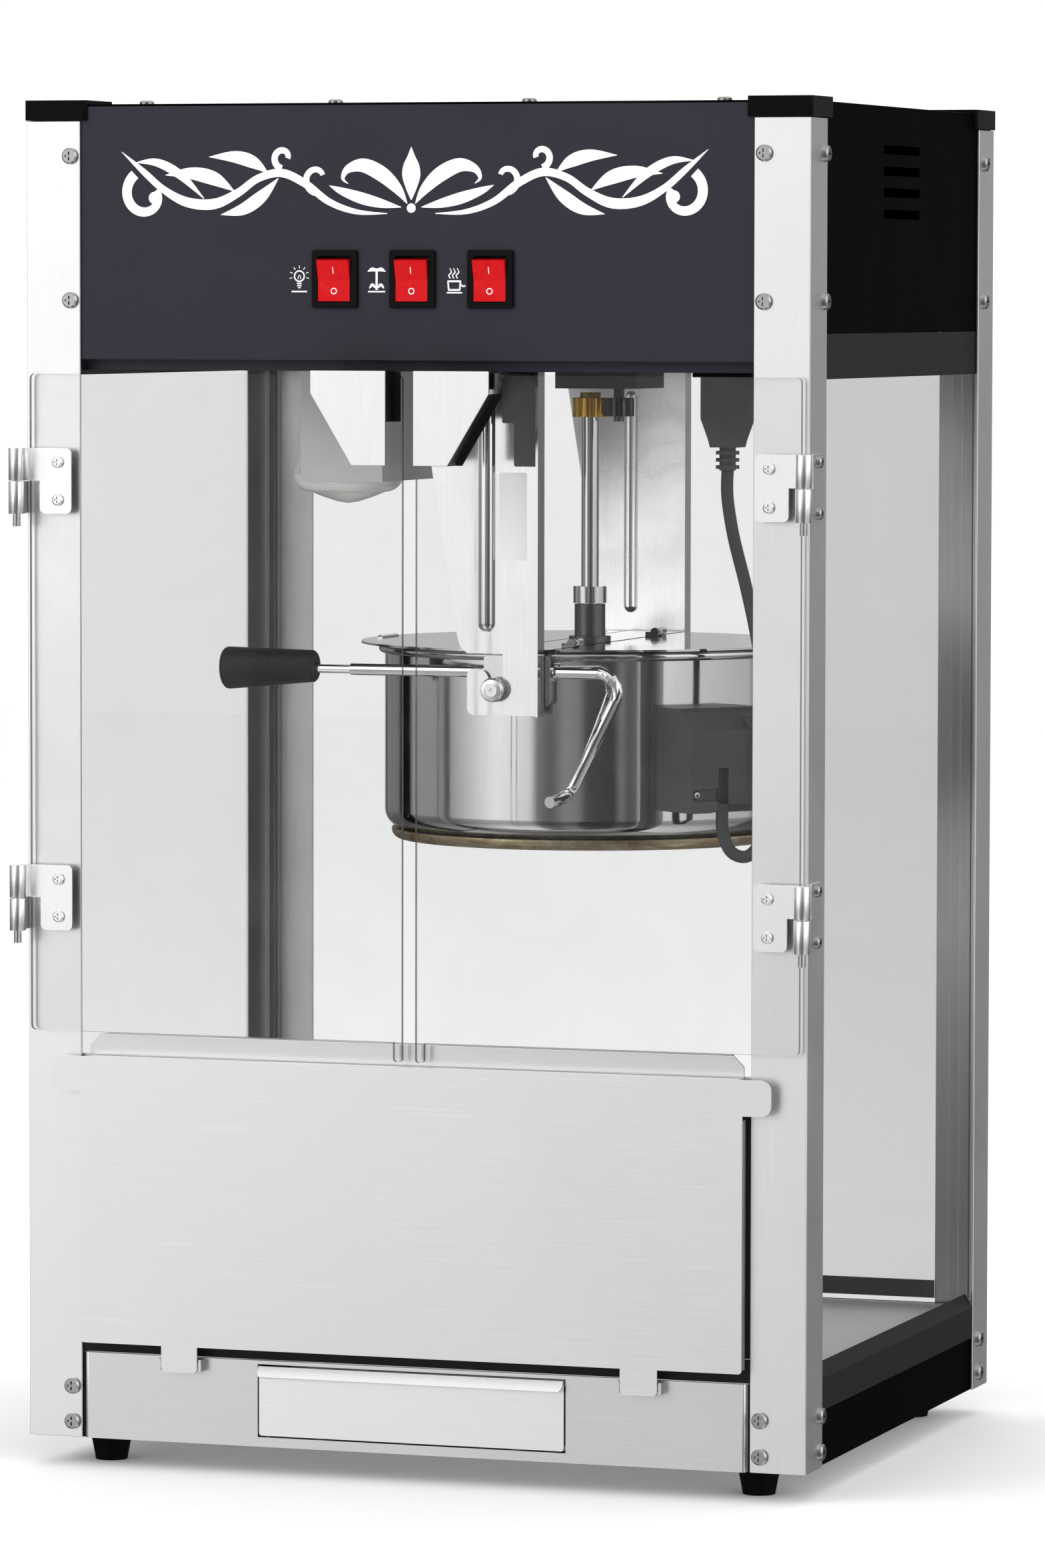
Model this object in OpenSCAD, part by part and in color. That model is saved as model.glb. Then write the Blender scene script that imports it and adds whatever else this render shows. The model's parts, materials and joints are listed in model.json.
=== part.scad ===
// Countertop popcorn maker: a glazed cabinet on four corner posts, a tilting
// kettle with a driven stirrer, two swinging doors, a tilt-out bin front and a
// crumb drawer. Millimetres, +Z up, the doors face -Y.
//
// Every module draws in the cabinet's own frame: X = 0 on the middle plane,
// Y = 0 on the front face of the corner posts, Z = 0 at the foot of the posts.
// place() moves that frame so that the origin ends up on the worktop, below
// the middle of the outline.

/* [Cabinet] */
// Width over the corner posts
cab_w = 457; // [440:1:480]
// Depth over the corner posts
cab_d = 376; // [370:1:400]
// Length of a corner post
post_h = 739; // [735:1:760]
// Width of each flange of a corner post
flange = 32; // [28:1:34]
// Sheet thickness of the posts
post_t = 1.6; // [1.2:0.2:2]
// Sheet thickness of the panels
panel_t = 1.2; // [1:0.1:1.4]
// Height of a rubber foot
foot_h = 16.5; // [12:0.5:25]

/* [Header] */
// Underside of the header's front panel
header_z = 606.4; // [606:0.2:608]
// Top edge of the header's panels
header_top = 747; // [745:1:748]
// Distance between the switches
switch_pitch = 45.4; // [40:0.2:60]
// Height of the middle of the switches
switch_z = 651.2; // [648:0.2:660]

/* [Doors] */
// Gap between the two doors
door_gap = 8; // [6:0.5:12]
// Bottom edge of the doors
door_z0 = 230; // [230:1:236]
// Top edge of the doors
door_z1 = 598.5; // [596:0.5:600]
// Thickness of the acrylic
door_t = 3; // [3:0.5:4]

/* [Kettle] */
// Outer radius of the pot
pot_r = 117.5; // [114:0.5:118]
// Height of the pot's rim
rim_z = 443.6; // [443:0.2:445]
// Underside of the kettle
pot_z0 = 332; // [328:1:340]
// Distance of the kettle's axis to the right of the middle plane
kettle_x = 41; // [38:1:43]
// Distance of the tilt pivot to the left of the kettle's axis
pivot_off = 12; // [10:1:14]
// Height of the tilt pivot
pivot_z = 423; // [420:1:426]

/* [Gears] */
// Tooth module of the two drive gears
gear_m = 1.5; // [1.4:0.05:1.5]
// Teeth on the stirrer's gear
stir_teeth = 12; // [12:1:12]
// Teeth on the motor's pinion
motor_teeth = 10; // [10:1:10]

/* [Hidden] */
$fn = 48;

hw = cab_w / 2;
handle_y = -21;
inlet_y = cab_d + 8;
y_mid = (handle_y + inlet_y) / 2;
skin_y = post_t + 0.1;
skin_x = hw - post_t - 0.2;
rear_y = cab_d - post_t - 0.1;
kettle_y = 190;
pivot_x = kettle_x - pivot_off;
hanger_off = 130;
ceiling_z = 606;
cover_z = header_top + panel_t;
glass_x = hw - 5;
glass_t = 3;
deck_z = 46;
base_top = 48.5;
skirt_top = 46.8;
flap_x = 194;
flap_axis = [-5, 45];
drawer_w = 172;
drawer_face = [89.7, 45.5];
hinge_x = hw + 0.8;
hinge_y = -14;
hinge_r = 4.5;
hinge_pin_r = 2.15;
hinge_zs = [305, 538.5];
hinge_half = 18.3;
lid_axis_x = 19;
lid_axis_z = 447.6;
rod_y = kettle_y - 123.4;
rod_z = 432.5;
rod_r = 3.3;
gear_z = 573;
gear_dist = gear_m * (stir_teeth + motor_teeth) / 2 + 0.7;
lamp_pos = [-78.7, 114];
shield_x = [-95, -46];
shield_y = [80, 167];
heater_turn = -40;
heater_w = 54;
plug_pos = [148, 110];
lead_d = 7;
// Where the kettle's lead runs, from the plug down to the heater's cover
lead_route = [
    [148, 110, 545], [148, 110, 530], [152, 109, 508], [160, 107, 480], [167, 106, 450],
    [172, 105, 420], [175, 103, 390], [176, 100, 362], [173, 96, 341], [166, 93, 331],
    [157, 91, 333], [152, 90.5, 344], [151.5, 90.5, 356], [151.5, 90.5, 360]
];

// ---------- helpers ----------

module place() {
    translate([0, -y_mid, foot_h]) children();
}

// A solid from one corner to the opposite one
module block(a, b) {
    translate([min(a.x, b.x), min(a.y, b.y), min(a.z, b.z)])
        cube([abs(b.x - a.x), abs(b.y - a.y), abs(b.z - a.z)]);
}

// The same shape on both sides of the middle plane
module both_sides() {
    children();
    mirror([1, 0, 0]) children();
}

// The same shape in front of and behind the kettle
module front_and_rear() {
    children();
    translate([0, 2 * kettle_y, 0]) mirror([0, 1, 0]) children();
}

// Outline of a rectangle with round corners, between two corner points
module round_rect(a, b, r) {
    union() {
        translate([a.x + r, a.y]) square([b.x - a.x - 2 * r, b.y - a.y]);
        translate([a.x, a.y + r]) square([b.x - a.x, b.y - a.y - 2 * r]);
        for (x = [a.x + r, b.x - r], y = [a.y + r, b.y - r])
            translate([x, y]) circle(r);
    }
}

// An outline in X and Z made into a plate that reaches from y0 to y1
module plate_y(y0, y1) {
    translate([0, y1, 0]) rotate([90, 0, 0]) linear_extrude(y1 - y0) children();
}

// A round bar between two points
module bar(a, b, r) {
    d = b - a;
    turn = atan2(d.y, d.x);
    lean = acos(d.z / norm(d));
    translate(a) rotate([0, lean, turn]) cylinder(r = r, h = norm(d));
}

// A pan-head screw with a cross recess, its head towards +Z from its seat
module pan_head(d = 9, h = 2.4) {
    difference() {
        union() {
            cylinder(r = d / 2, h = h - 0.8);
            translate([0, 0, h - 0.8]) cylinder(r1 = d / 2, r2 = d / 2 - 0.9, h = 0.8);
        }
        for (a = [0, 90])
            rotate([0, 0, a]) translate([-d * 0.28, -d * 0.06, h - 1.1])
                cube([d * 0.56, d * 0.12, 2]);
    }
}

// Spur gear outline: straight-sided teeth with a little backlash
function gear_points(teeth) =
    let (pitch = gear_m * teeth / 2, step = 360 / teeth)
    [for (k = [0 : teeth - 1], p = [[-0.36, -1.2], [-0.14, 0.85], [0.14, 0.85], [0.36, -1.2]])
        let (r = pitch + p[1] * gear_m, a = step * (k + p[0]))
        [r * cos(a), r * sin(a)]];

// ---------- cabinet ----------

module corner_post() {
    linear_extrude(post_h) difference() {
        translate([hw - flange, 0]) square([flange, flange]);
        translate([hw - flange - 1, post_t]) square([flange + 1 - post_t, flange]);
    }
}

module post_front_right() {
    color("silver") place() corner_post();
}

module post_front_left() {
    color("silver") place() mirror([1, 0, 0]) corner_post();
}

module post_rear_right() {
    color("silver") place() translate([0, cab_d, 0]) mirror([0, 1, 0]) corner_post();
}

module post_rear_left() {
    color("silver") place() translate([0, cab_d, 0]) mirror([0, 1, 0]) mirror([1, 0, 0])
        corner_post();
}

cap_reach = [36, 40];
cap_top = 750.5;

module corner_cap() {
    difference() {
        translate([0, 0, post_h + 0.3]) linear_extrude(cap_top - post_h - 0.3)
            round_rect([hw - cap_reach.x, -1], [hw + 1, cap_reach.y], 2);
        block([hw - cap_reach.x - 1, skin_y - 0.2, 0], [skin_x + 0.1, cap_reach.y + 1, cover_z + 0.2]);
    }
}

module corner_caps() {
    color("#161616") place() both_sides() {
        corner_cap();
        translate([0, cab_d, 0]) mirror([0, 1, 0]) corner_cap();
    }
}

function switch_x(i) = (i - 1) * switch_pitch;

module header_front() {
    color("#22222a") place() difference() {
        union() {
            block([-hw + 4, skin_y, header_z], [hw - 4, skin_y + panel_t, header_top]);
            block([-hw + flange, skin_y, header_z], [hw - flange, skin_y + 12, header_z + panel_t]);
            block([-hw + flange, skin_y + 12 - panel_t, header_z - 6],
                [hw - flange, skin_y + 12, header_z + 1]);
            block([-hw + flange, skin_y, header_top - panel_t], [hw - flange, skin_y + 14, header_top]);
        }
        for (i = [0 : 2])
            block([switch_x(i) - 10.6, 0, switch_z - 14.1], [switch_x(i) + 10.6, 6, switch_z + 14.1]);
    }
}

louvre_y = [149, 223];
louvre_z = [688, 700, 712, 724];

module header_shell() {
    color("#121214") place() difference() {
        block([-skin_x, flange - 8, 622], [skin_x, rear_y, header_top]);
        block([-skin_x + panel_t, 0, 600], [skin_x - panel_t, rear_y - panel_t, header_top + 1]);
        for (z = louvre_z)
            block([-hw, louvre_y[0], z - 2.5], [hw, louvre_y[1], z + 2.5]);
        for (z = louvre_z, x = [-96, 20])
            block([x, rear_y - 5, z - 2.5], [x + 76, rear_y + 1, z + 2.5]);
        block([130, rear_y - 5, 640], [162, rear_y + 1, 665]);
    }
}

module top_cover() {
    color("#17171b") place() difference() {
        block([-skin_x, skin_y, header_top], [skin_x, rear_y, cover_z]);
        for (x = [-hw, hw], y = [0, cab_d])
            translate([x, y, header_top - 1]) cylinder(r = 10, h = 4);
    }
}

gearbox = [[28.2, 164.5], [77, 215.5]];

module ceiling_plate() {
    color("#9a9c9e") place() difference() {
        block([-hw + 5, skin_y + 12.3, ceiling_z], [hw - 5, rear_y - 2.6, ceiling_z + panel_t]);
        block([gearbox[0].x - 1, gearbox[0].y - 1, 600], [gearbox[1].x + 1, gearbox[1].y + 1, 612]);
        translate([lamp_pos.x, lamp_pos.y, 600]) cylinder(r = 12, h = 12);
        block([plug_pos.x - 10, plug_pos.y - 6, 600], [plug_pos.x + 10, plug_pos.y + 6, 612]);
    }
}

// The sill below a pane: an upright strip that slopes in to the glass at its top
module sill_outline(out, pane) {
    polygon([[out - 1.8, 31], [out, 31], [out, 49], [pane + 0.2, 57], [pane + 0.2, 52], [out - 1.8, 47]]);
}

module glass_rails() {
    color("#3c3c40") place() {
        both_sides() {
            block([glass_x + 0.2, flange - 8, 597], [skin_x, cab_d - flange + 8, 621.8]);
            translate([0, cab_d - flange, 0]) rotate([90, 0, 0])
                linear_extrude(cab_d - 2 * flange) sill_outline(hw - 0.3, glass_x);
        }
        block([-hw + flange, rear_y - 2.4, 597], [hw - flange, rear_y, 621.8]);
        block([-hw + flange, rear_y - 2.4, 49.8], [hw - flange, rear_y, 60]);
        // dark frame behind the bin front's lower and side edges
        block([-hw + 5, skin_y, base_top + 0.3], [hw - 5, skin_y + panel_t, 62]);
        both_sides() block([flap_x - 6, skin_y, 62.3], [hw - 5, skin_y + panel_t, 202.5]);
    }
}

bracket_gap = [123, 147];
base_face = -0.8;
end_gap = 2.2;

module base_front() {
    color("silver") place() difference() {
        union() {
            block([-hw + 5, skin_y, 0], [hw - 5, skin_y + panel_t, base_top]);
            linear_extrude(base_top)
                round_rect([-hw + flange + end_gap, base_face],
                    [hw - flange - end_gap, skin_y + panel_t], 1.8);
            block([-hw + flange + 2, skin_y, base_top - panel_t],
                [hw - flange - 2, skin_y + 10, base_top]);
            both_sides() {
                for (x = bracket_gap)
                    block([x - 0.75, base_face + 0.5, 41.5], [x + 0.75, flap_axis[0] - 2.2, 48]);
                translate([bracket_gap[0], flap_axis[0], flap_axis[1]]) rotate([0, 90, 0])
                    cylinder(r = 1.5, h = bracket_gap[1] - bracket_gap[0]);
            }
        }
        block([-drawer_face.x - 1, base_face - 1, 5.4], [drawer_face.x + 1, 8, drawer_face.y + 1]);
    }
}

module base_skirt() {
    color("#141416") place() difference() {
        block([-hw + 2.1, flange - 8, 0], [hw - 2.1, rear_y, skirt_top]);
        block([-hw + 2.1 + panel_t, 0, -1], [hw - 2.1 - panel_t, rear_y - panel_t, base_top]);
    }
}

module base_floor() {
    color("#8c8e90") place() {
        block([-hw + 4, 3.2, 0], [hw - 4, rear_y - 1.5, panel_t]);
        both_sides() {
            block([56, 8, panel_t], [60, 268, 6.7]);
            block([drawer_w / 2 + 1, 8, panel_t], [drawer_w / 2 + 2.5, 268, 38]);
        }
    }
}

module deck() {
    color("#b9bbbd") place() difference() {
        block([-glass_x + glass_t + 0.4, skin_y + 11.5, deck_z],
            [glass_x - glass_t - 0.4, rear_y - 6, deck_z + panel_t]);
        for (i = [0 : 6], j = [0 : 9])
            block([-88 + 26 * i, 60 + 20 * j, 40], [-68 + 26 * i, 66 + 20 * j, 50]);
    }
}

module side_glass() {
    block([glass_x - glass_t, 4, 50], [glass_x, cab_d - 5, 600]);
}

module glass_right() {
    color("#dfeef0", 0.3) place() side_glass();
}

module glass_left() {
    color("#dfeef0", 0.3) place() mirror([1, 0, 0]) side_glass();
}

module glass_rear() {
    color("#dfeef0", 0.3) place()
        block([-hw + 10, rear_y - 2.6 - glass_t, 50], [hw - 10, rear_y - 2.6, 602]);
}

// The rail across the bin's front, with clipped top corners
module bin_rail() {
    color("silver") place() {
        plate_y(0.3 + skin_y, 0.3 + skin_y + panel_t)
            polygon([[-192, 203], [192, 203], [192, 222.5], [186, 228.5], [-186, 228.5], [-192, 222.5]]);
        block([-184, 0.3 + skin_y, 227.3], [184, 10, 228.5]);
        both_sides() block([186, skin_y + 1.5, 203], [214, skin_y + 2.7, 217]);
    }
}

flap_y = -8;
tab_x = [124.3, 145.7];

module front_flap() {
    color("silver") place() {
        plate_y(flap_y, flap_y + panel_t) union() {
            round_rect([-flap_x, 55], [flap_x, 216.5], 2);
            round_rect([-210.5, 196.5], [210.5, 216.5], 6);
        }
        block([-flap_x + 2, flap_y, 215.3], [flap_x - 2, -1, 216.5]);
        block([-flap_x + 2, flap_y, 55], [flap_x - 2, -2, 56.2]);
        both_sides() {
            block([flap_x - 1.2, flap_y, 57], [flap_x, -1, 194]);
            difference() {
                union() {
                    translate([tab_x[0], flap_axis[0], flap_axis[1]]) rotate([0, 90, 0])
                        cylinder(r = 2.4, h = tab_x[1] - tab_x[0]);
                    plate_y(flap_y, flap_y + panel_t) round_rect([tab_x[0], 40.5], [tab_x[1], 60], 3);
                }
                translate([tab_x[0] - 1, flap_axis[0], flap_axis[1]]) rotate([0, 90, 0])
                    cylinder(r = 1.56, h = tab_x[1] - tab_x[0] + 2);
            }
        }
    }
}

module crumb_drawer() {
    color("silver") place() {
        difference() {
            block([-drawer_w / 2, 0, 7], [drawer_w / 2, 240, 40]);
            block([-drawer_w / 2 + 1, 1, 8], [drawer_w / 2 - 1, 239, 50]);
        }
        plate_y(-1.2, 0) round_rect([-drawer_face.x, 6.4], drawer_face, 1.5);
        // sloping finger lip with rounded ends
        intersection() {
            translate([-drawer_face.x, 0, 0]) rotate([90, 0, 90]) linear_extrude(2 * drawer_face.x)
                polygon([[-1, 45.5], [-1, 44], [-5.4, 39.2], [-6.3, 40.1], [-2, 45.5]]);
            plate_y(-7, 0) round_rect([-drawer_face.x, 38], [drawer_face.x, 52], 6);
        }
    }
}

// ---------- doors ----------

tongue_w = 5;
door_in = door_gap / 2;
door_out = hw - 3.4;

module door_panel() {
    plate_y(-2 - door_t, -2) union() {
        round_rect([door_in, door_z0], [door_out, door_z1], 3);
        round_rect([door_in, door_z0 - 11], [door_in + tongue_w, door_z0 + 12], 2);
    }
}

module door_right() {
    color("#eef4f5", 0.25) place() door_panel();
}

module door_left() {
    color("#eef4f5", 0.25) place() mirror([1, 0, 0]) door_panel();
}

grip_x = [8, 52];
grip_z = [549, 601];
handle_lip = 3.4;
door_y = -2 - door_t;

// Trapezoid of folded sheet: a face, a top, an upright inner flange and a sloping outer one
module door_handle() {
    slant = [[grip_x[1], grip_z[1] - 12.5], [grip_x[0] + 20, grip_z[0]]];
    plate_y(handle_y, handle_y + 1.2)
        polygon([[grip_x[0], grip_z[0]], [grip_x[0], grip_z[1]], [grip_x[1], grip_z[1]], slant[0], slant[1]]);
    block([grip_x[0], handle_y, grip_z[1] - 1.2], [grip_x[1], door_y, grip_z[1]]);
    block([grip_x[0], handle_y, grip_z[0] + 24], [grip_x[0] + 1.2, door_y, grip_z[1]]);
    plate_y(handle_y, door_y)
        polygon([slant[0], slant[1], slant[1] - [1.5, 0], slant[0] - [1.5, 0]]);
    // the lips that are screwed to the door
    block([grip_x[0] + 1, door_y - 1.2, grip_z[1] - 10], [grip_x[1] - 2, door_y, grip_z[1]]);
    block([grip_x[0] - handle_lip, door_y - 1.2, grip_z[0] + 24], [grip_x[0] + 1.2, door_y, grip_z[1]]);
    plate_y(door_y - 1.2, door_y)
        polygon([slant[0] - [1.5, 0], slant[1] - [1.5, 0],
            slant[1] + [handle_lip, 0], slant[0] + [handle_lip, 0]]);
}

module door_handle_right() {
    color("silver") place() door_handle();
}

module door_handle_left() {
    color("silver") place() mirror([1, 0, 0]) door_handle();
}

// The half of a lift-off hinge that is screwed to the door: leaf, neck and upper barrel
module hinge_leaf(z) {
    up = [z + 0.3, z + hinge_half];
    leaf_y = door_y - 1.5;
    neck_x = hw - 4.3;
    difference() {
        union() {
            translate([hinge_x, hinge_y, up[0]]) cylinder(r = hinge_r, h = up[1] - up[0]);
            translate([0, 0, up[0]]) linear_extrude(up[1] - up[0])
                polygon([[neck_x, leaf_y], [neck_x, door_y],
                    [hinge_x + 2, hinge_y + 3.5], [hinge_x - 3, hinge_y]]);
        }
        translate([hinge_x, hinge_y, up[0] - 1]) cylinder(r = hinge_pin_r + 0.06, h = 17);
    }
    plate_y(leaf_y, door_y) union() {
        round_rect([hw - 29, z - hinge_half], [hw - 10, z + hinge_half], 3);
        translate([hw - 14, z]) square([9.7, hinge_half]);
    }
    for (s = [-1, 1])
        translate([hw - 21, leaf_y, z + 10.5 * s]) rotate([90, 0, 0]) pan_head(6.5, 2);
}

module hinge_leaves_right() {
    color("silver") place() for (z = hinge_zs) hinge_leaf(z);
}

module hinge_leaves_left() {
    color("silver") place() mirror([1, 0, 0]) for (z = hinge_zs) hinge_leaf(z);
}

// The half on the cabinet: a leaf on the post's side, lower barrel and pin
module hinge_bracket(z) {
    low = [z - hinge_half, z - 0.3];
    translate([hinge_x, hinge_y, low[0]]) cylinder(r = hinge_r, h = low[1] - low[0]);
    translate([hinge_x, hinge_y, low[0] - 7]) cylinder(r = hinge_pin_r, h = 7 + hinge_half + 15);
    block([hw + 0.02, hinge_y, low[0]], [hw + 1.5, 3, low[1]]);
    block([hw + 0.02, 2, z - hinge_half], [hw + 1.5, 22, z + hinge_half]);
}

module hinge_brackets() {
    color("silver") place() both_sides() for (z = hinge_zs) hinge_bracket(z);
}

// ---------- fasteners and feet ----------

post_screw_z = [9, 29, 639.3, 719.5];

module cabinet_screws() {
    color("#c9cbcd") place() {
        both_sides() {
            for (z = post_screw_z) {
                translate([202.3, 0, z]) rotate([90, 0, 0]) pan_head();
                translate([202.3, cab_d, z]) rotate([-90, 0, 0]) pan_head();
                for (y = [28, cab_d - 20])
                    translate([hw, y, z]) rotate([0, 90, 0]) pan_head();
            }
            for (z = hinge_zs, s = [-1, 1])
                translate([hw + 1.5, 13, z + 14 * s]) rotate([0, 90, 0]) pan_head(6.5, 2);
        }
        for (x = [-161, -49, 64, 176], y = [12, cab_d - 12])
            translate([x, y, cover_z]) pan_head(8, 2);
    }
}

foot_x = 192;
foot_ys = [33, cab_d - 33];

module feet() {
    color("#1a1a1a") place() both_sides() for (y = foot_ys)
        translate([foot_x, y, -foot_h]) cylinder(r1 = 9, r2 = 12.2, h = foot_h);
}

// ---------- switches ----------

bezel = [26.4, 32];
rocker_y = 4;
rocker_rest = 8;
rocker_pin_r = 1.5;

module switch_bezel() {
    difference() {
        union() {
            plate_y(skin_y - 2.2, skin_y) round_rect(-bezel / 2, bezel / 2, 1.5);
            block([-10.4, skin_y - 1, -13.9], [10.4, 17, 13.9]);
        }
        block([-9.5, -2, -12.7], [9.5, 13.5, 12.7]);
        translate([-12, rocker_y, 0]) rotate([0, 90, 0]) cylinder(r = rocker_pin_r + 0.05, h = 24);
    }
}

module switch_bezels() {
    color("#101010") place() for (i = [0 : 2])
        translate([switch_x(i), 0, switch_z]) switch_bezel();
}

// Concave rocker on two pins along X, resting with its lower end pressed in
module rocker(i) {
    translate([switch_x(i), rocker_y, switch_z]) {
        rotate([rocker_rest, 0, 0]) translate([-9.2, 0, 0]) rotate([90, 0, 90]) linear_extrude(18.4)
            polygon([[-6.6, 11.4], [-4.9, 0], [-6.6, -11.4], [1, -11.4], [6, 0], [1, 11.4]]);
        translate([-10.3, 0, 0]) rotate([0, 90, 0]) cylinder(r = rocker_pin_r, h = 20.6);
    }
}

module rocker_lamp() {
    color("#c8101a") place() rocker(0);
}

module rocker_stir() {
    color("#c8101a") place() rocker(1);
}

module rocker_heat() {
    color("#c8101a") place() rocker(2);
}

// ---------- lamp ----------

module lamp_shield() {
    color("#c6c7c9") place() {
        block([shield_x[0], shield_y[0], 537.5], [shield_x[1], shield_y[0] + 1, ceiling_z]);
        block([shield_x[1] - 1, shield_y[0], 537.5], [shield_x[1], shield_y[1], ceiling_z]);
        block([shield_x[1] - 1, shield_y[0], ceiling_z - 1], [shield_x[1] + 12, shield_y[1], ceiling_z]);
    }
}

module lamp_socket() {
    color("#e8e6e0") place() translate([lamp_pos.x, lamp_pos.y, 0]) difference() {
        union() {
            translate([0, 0, 579]) cylinder(r = 18, h = ceiling_z - 579);
            translate([0, 0, ceiling_z]) cylinder(r = 11.5, h = 14);
        }
        translate([0, 0, 578]) cylinder(r = 14, h = 24);
    }
}

module lamp_bulb() {
    color("#f4f2ea") place() translate([lamp_pos.x, lamp_pos.y, 0]) rotate_extrude()
        polygon(concat(
            [[0, 600], [13, 600], [13, 578], [16, 570]],
            [for (t = [0 : 0.2 : 1]) [16 + 14 * sin(90 * t), 570 - 25 * t]],
            [for (a = [0 : 15 : 90]) [21.5 + 10 * cos(a), 541 - 10 * sin(a)]],
            [[14, 528], [6, 525.4], [0, 524.5]]));
}

// ---------- drive ----------

module gear_motor() {
    color("#4a4b4d") place() difference() {
        union() {
            block([gearbox[0].x, gearbox[0].y, 589.5], [gearbox[1].x, gearbox[1].y, 640]);
            block([gearbox[0].x - 6, gearbox[0].y + 4, ceiling_z + panel_t],
                [gearbox[1].x + 6, gearbox[1].y - 4, ceiling_z + panel_t + 4]);
            translate([52, kettle_y, 640]) cylinder(r = 24, h = 62);
        }
        translate([kettle_x + gear_dist, kettle_y, 588]) cylinder(r = 3.05, h = 9);
    }
}

module motor_pinion() {
    color("#8f9296") place() translate([kettle_x + gear_dist, kettle_y, 0]) {
        translate([0, 0, gear_z + 0.5]) rotate([0, 0, 180 / motor_teeth])
            linear_extrude(10.5) polygon(gear_points(motor_teeth));
        translate([0, 0, gear_z - 2.5]) cylinder(r = 3, h = 23);
    }
}

stem_r = 5;

module stirrer_shaft() {
    color("#d5d7d9") place() translate([kettle_x, kettle_y, 0]) {
        translate([0, 0, pot_z0 + 12]) cylinder(r = stem_r, h = 586.5 - pot_z0 - 12);
        translate([0, 0, 466.6]) cylinder(r = 9.6, h = 9.6);
    }
}

module stirrer_gear() {
    color("#b8872b") place() translate([kettle_x, kettle_y, 0]) difference() {
        union() {
            translate([0, 0, gear_z]) linear_extrude(11) polygon(gear_points(stir_teeth));
            translate([0, 0, gear_z + 11]) cylinder(r = 5.9, h = 3);
        }
        translate([0, 0, gear_z - 1]) cylinder(r = stem_r, h = 20);
    }
}

module stirrer_blades() {
    color("#c9cbcd") place() translate([kettle_x, kettle_y, pot_z0 + 9]) difference() {
        union() {
            cylinder(r = 9, h = 12);
            for (a = [20, 200])
                rotate([0, 0, a]) block([0, -1.5, 0], [100, 1.5, 5]);
            for (a = [110, 290])
                rotate([0, 0, a]) block([0, -1.5, 3], [72, 1.5, 8]);
            for (a = [20, 200])
                rotate([0, 0, a]) translate([97, 0, 0]) rotate([0, 0, 30])
                    block([-1.5, -11, 0], [1.5, 11, 10]);
        }
        translate([0, 0, 3]) cylinder(r = stem_r, h = 12);
    }
}

// ---------- hangers ----------

hanger_right = 57;
hanger_lip = 10;
slot_r = 4.06;
hook = [12, 408.5];
hook_top = 434.5;
rib_x = 23.5;
rib_z = [460, 582];

// What is cut from a square corner to round it; way points out of the corner
module corner_cut(at, r, way) {
    translate(at) mirror([way.x < 0 ? 1 : 0, 0]) mirror([0, way.y < 0 ? 1 : 0]) difference() {
        translate([-r, -r]) square(r + 0.05);
        translate([-r, -r]) circle(r);
    }
}

module hanger_outline() {
    difference() {
        polygon([
            [-18.6, ceiling_z], [6.2, 452], [8, 446.5], [hook[0], 443], hook,
            [hanger_right, hook[1]], [hanger_right, ceiling_z]
        ]);
        // the slot that the pivot drops into
        translate([pivot_x, pivot_z]) circle(slot_r);
        translate([pivot_x - slot_r, pivot_z]) square([2 * slot_r, 20]);
        translate([0, hook_top]) square([pivot_x + slot_r, 443 - hook_top]);
        // round corners of the hook
        corner_cut([pivot_x - slot_r, hook_top], 7, [1, 1]);
        corner_cut([hook[0], hook_top], 4, [-1, 1]);
        corner_cut(hook, 4, [-1, -1]);
    }
}

// A round-ended bar along the stiffening rib, between two depths
module rib(r, axis_y, y0, y1) {
    intersection() {
        translate([rib_x, axis_y, 0]) union() {
            translate([0, 0, rib_z[0]]) cylinder(r = r, h = rib_z[1] - rib_z[0]);
            for (z = rib_z)
                translate([0, 0, z]) sphere(r);
        }
        block([rib_x - 10, y0, rib_z[0] - 10], [rib_x + 10, y1, rib_z[1] + 10]);
    }
}

module hanger() {
    front = kettle_y - hanger_off - 1.5;
    difference() {
        union() {
            plate_y(front, front + 1.5) hanger_outline();
            block([hanger_right - 1.5, front - hanger_lip, hook[1]], [hanger_right, front, ceiling_z]);
            block([-18, front - 16, ceiling_z - 1.5], [hanger_right, front, ceiling_z]);
            rib(5.4, front + 2, front - 6, front + 0.5);
        }
        // the hollow behind the pressed rib
        rib(4.2, front + 2, front - 6, front + 2);
    }
}

module hanger_front() {
    color("#e6e7e8") place() hanger();
}

module hanger_rear() {
    color("#e6e7e8") place() translate([0, 2 * kettle_y, 0]) mirror([0, 1, 0]) hanger();
}

// The dark stepped bracket at the top of the front hanger
module hanger_stop() {
    front = kettle_y - hanger_off - 1.6;
    color("#48494b") place() {
        block([35, front - 7.5, 571.5], [hanger_right - 1.7, front, 596]);
        block([42, front - 7.5, 547.5], [hanger_right - 1.7, front, 571.5]);
    }
}

// ---------- kettle ----------

wall = 1.2;
pot_floor = pot_z0 + 6;
corner_r = 11;

// Half section of a round vessel with a rounded bottom edge
module vessel_section(r, z0, z1, c) {
    union() {
        translate([0, z0]) square([r - c, z1 - z0]);
        translate([0, z0 + c]) square([r, z1 - z0 - c]);
        intersection() {
            translate([r - c, z0 + c]) circle(c);
            translate([0, z0]) square([r, c]);
        }
    }
}

module kettle_pot() {
    color("#c4c6c8") place() translate([kettle_x, kettle_y, 0]) rotate_extrude($fn = 96) union() {
        difference() {
            vessel_section(pot_r, pot_floor, rim_z - 2.6, corner_r);
            vessel_section(pot_r - wall, pot_floor + wall, rim_z, corner_r - wall);
        }
        translate([pot_r + 1, rim_z - 2.6]) circle(2.6);
    }
}

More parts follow.
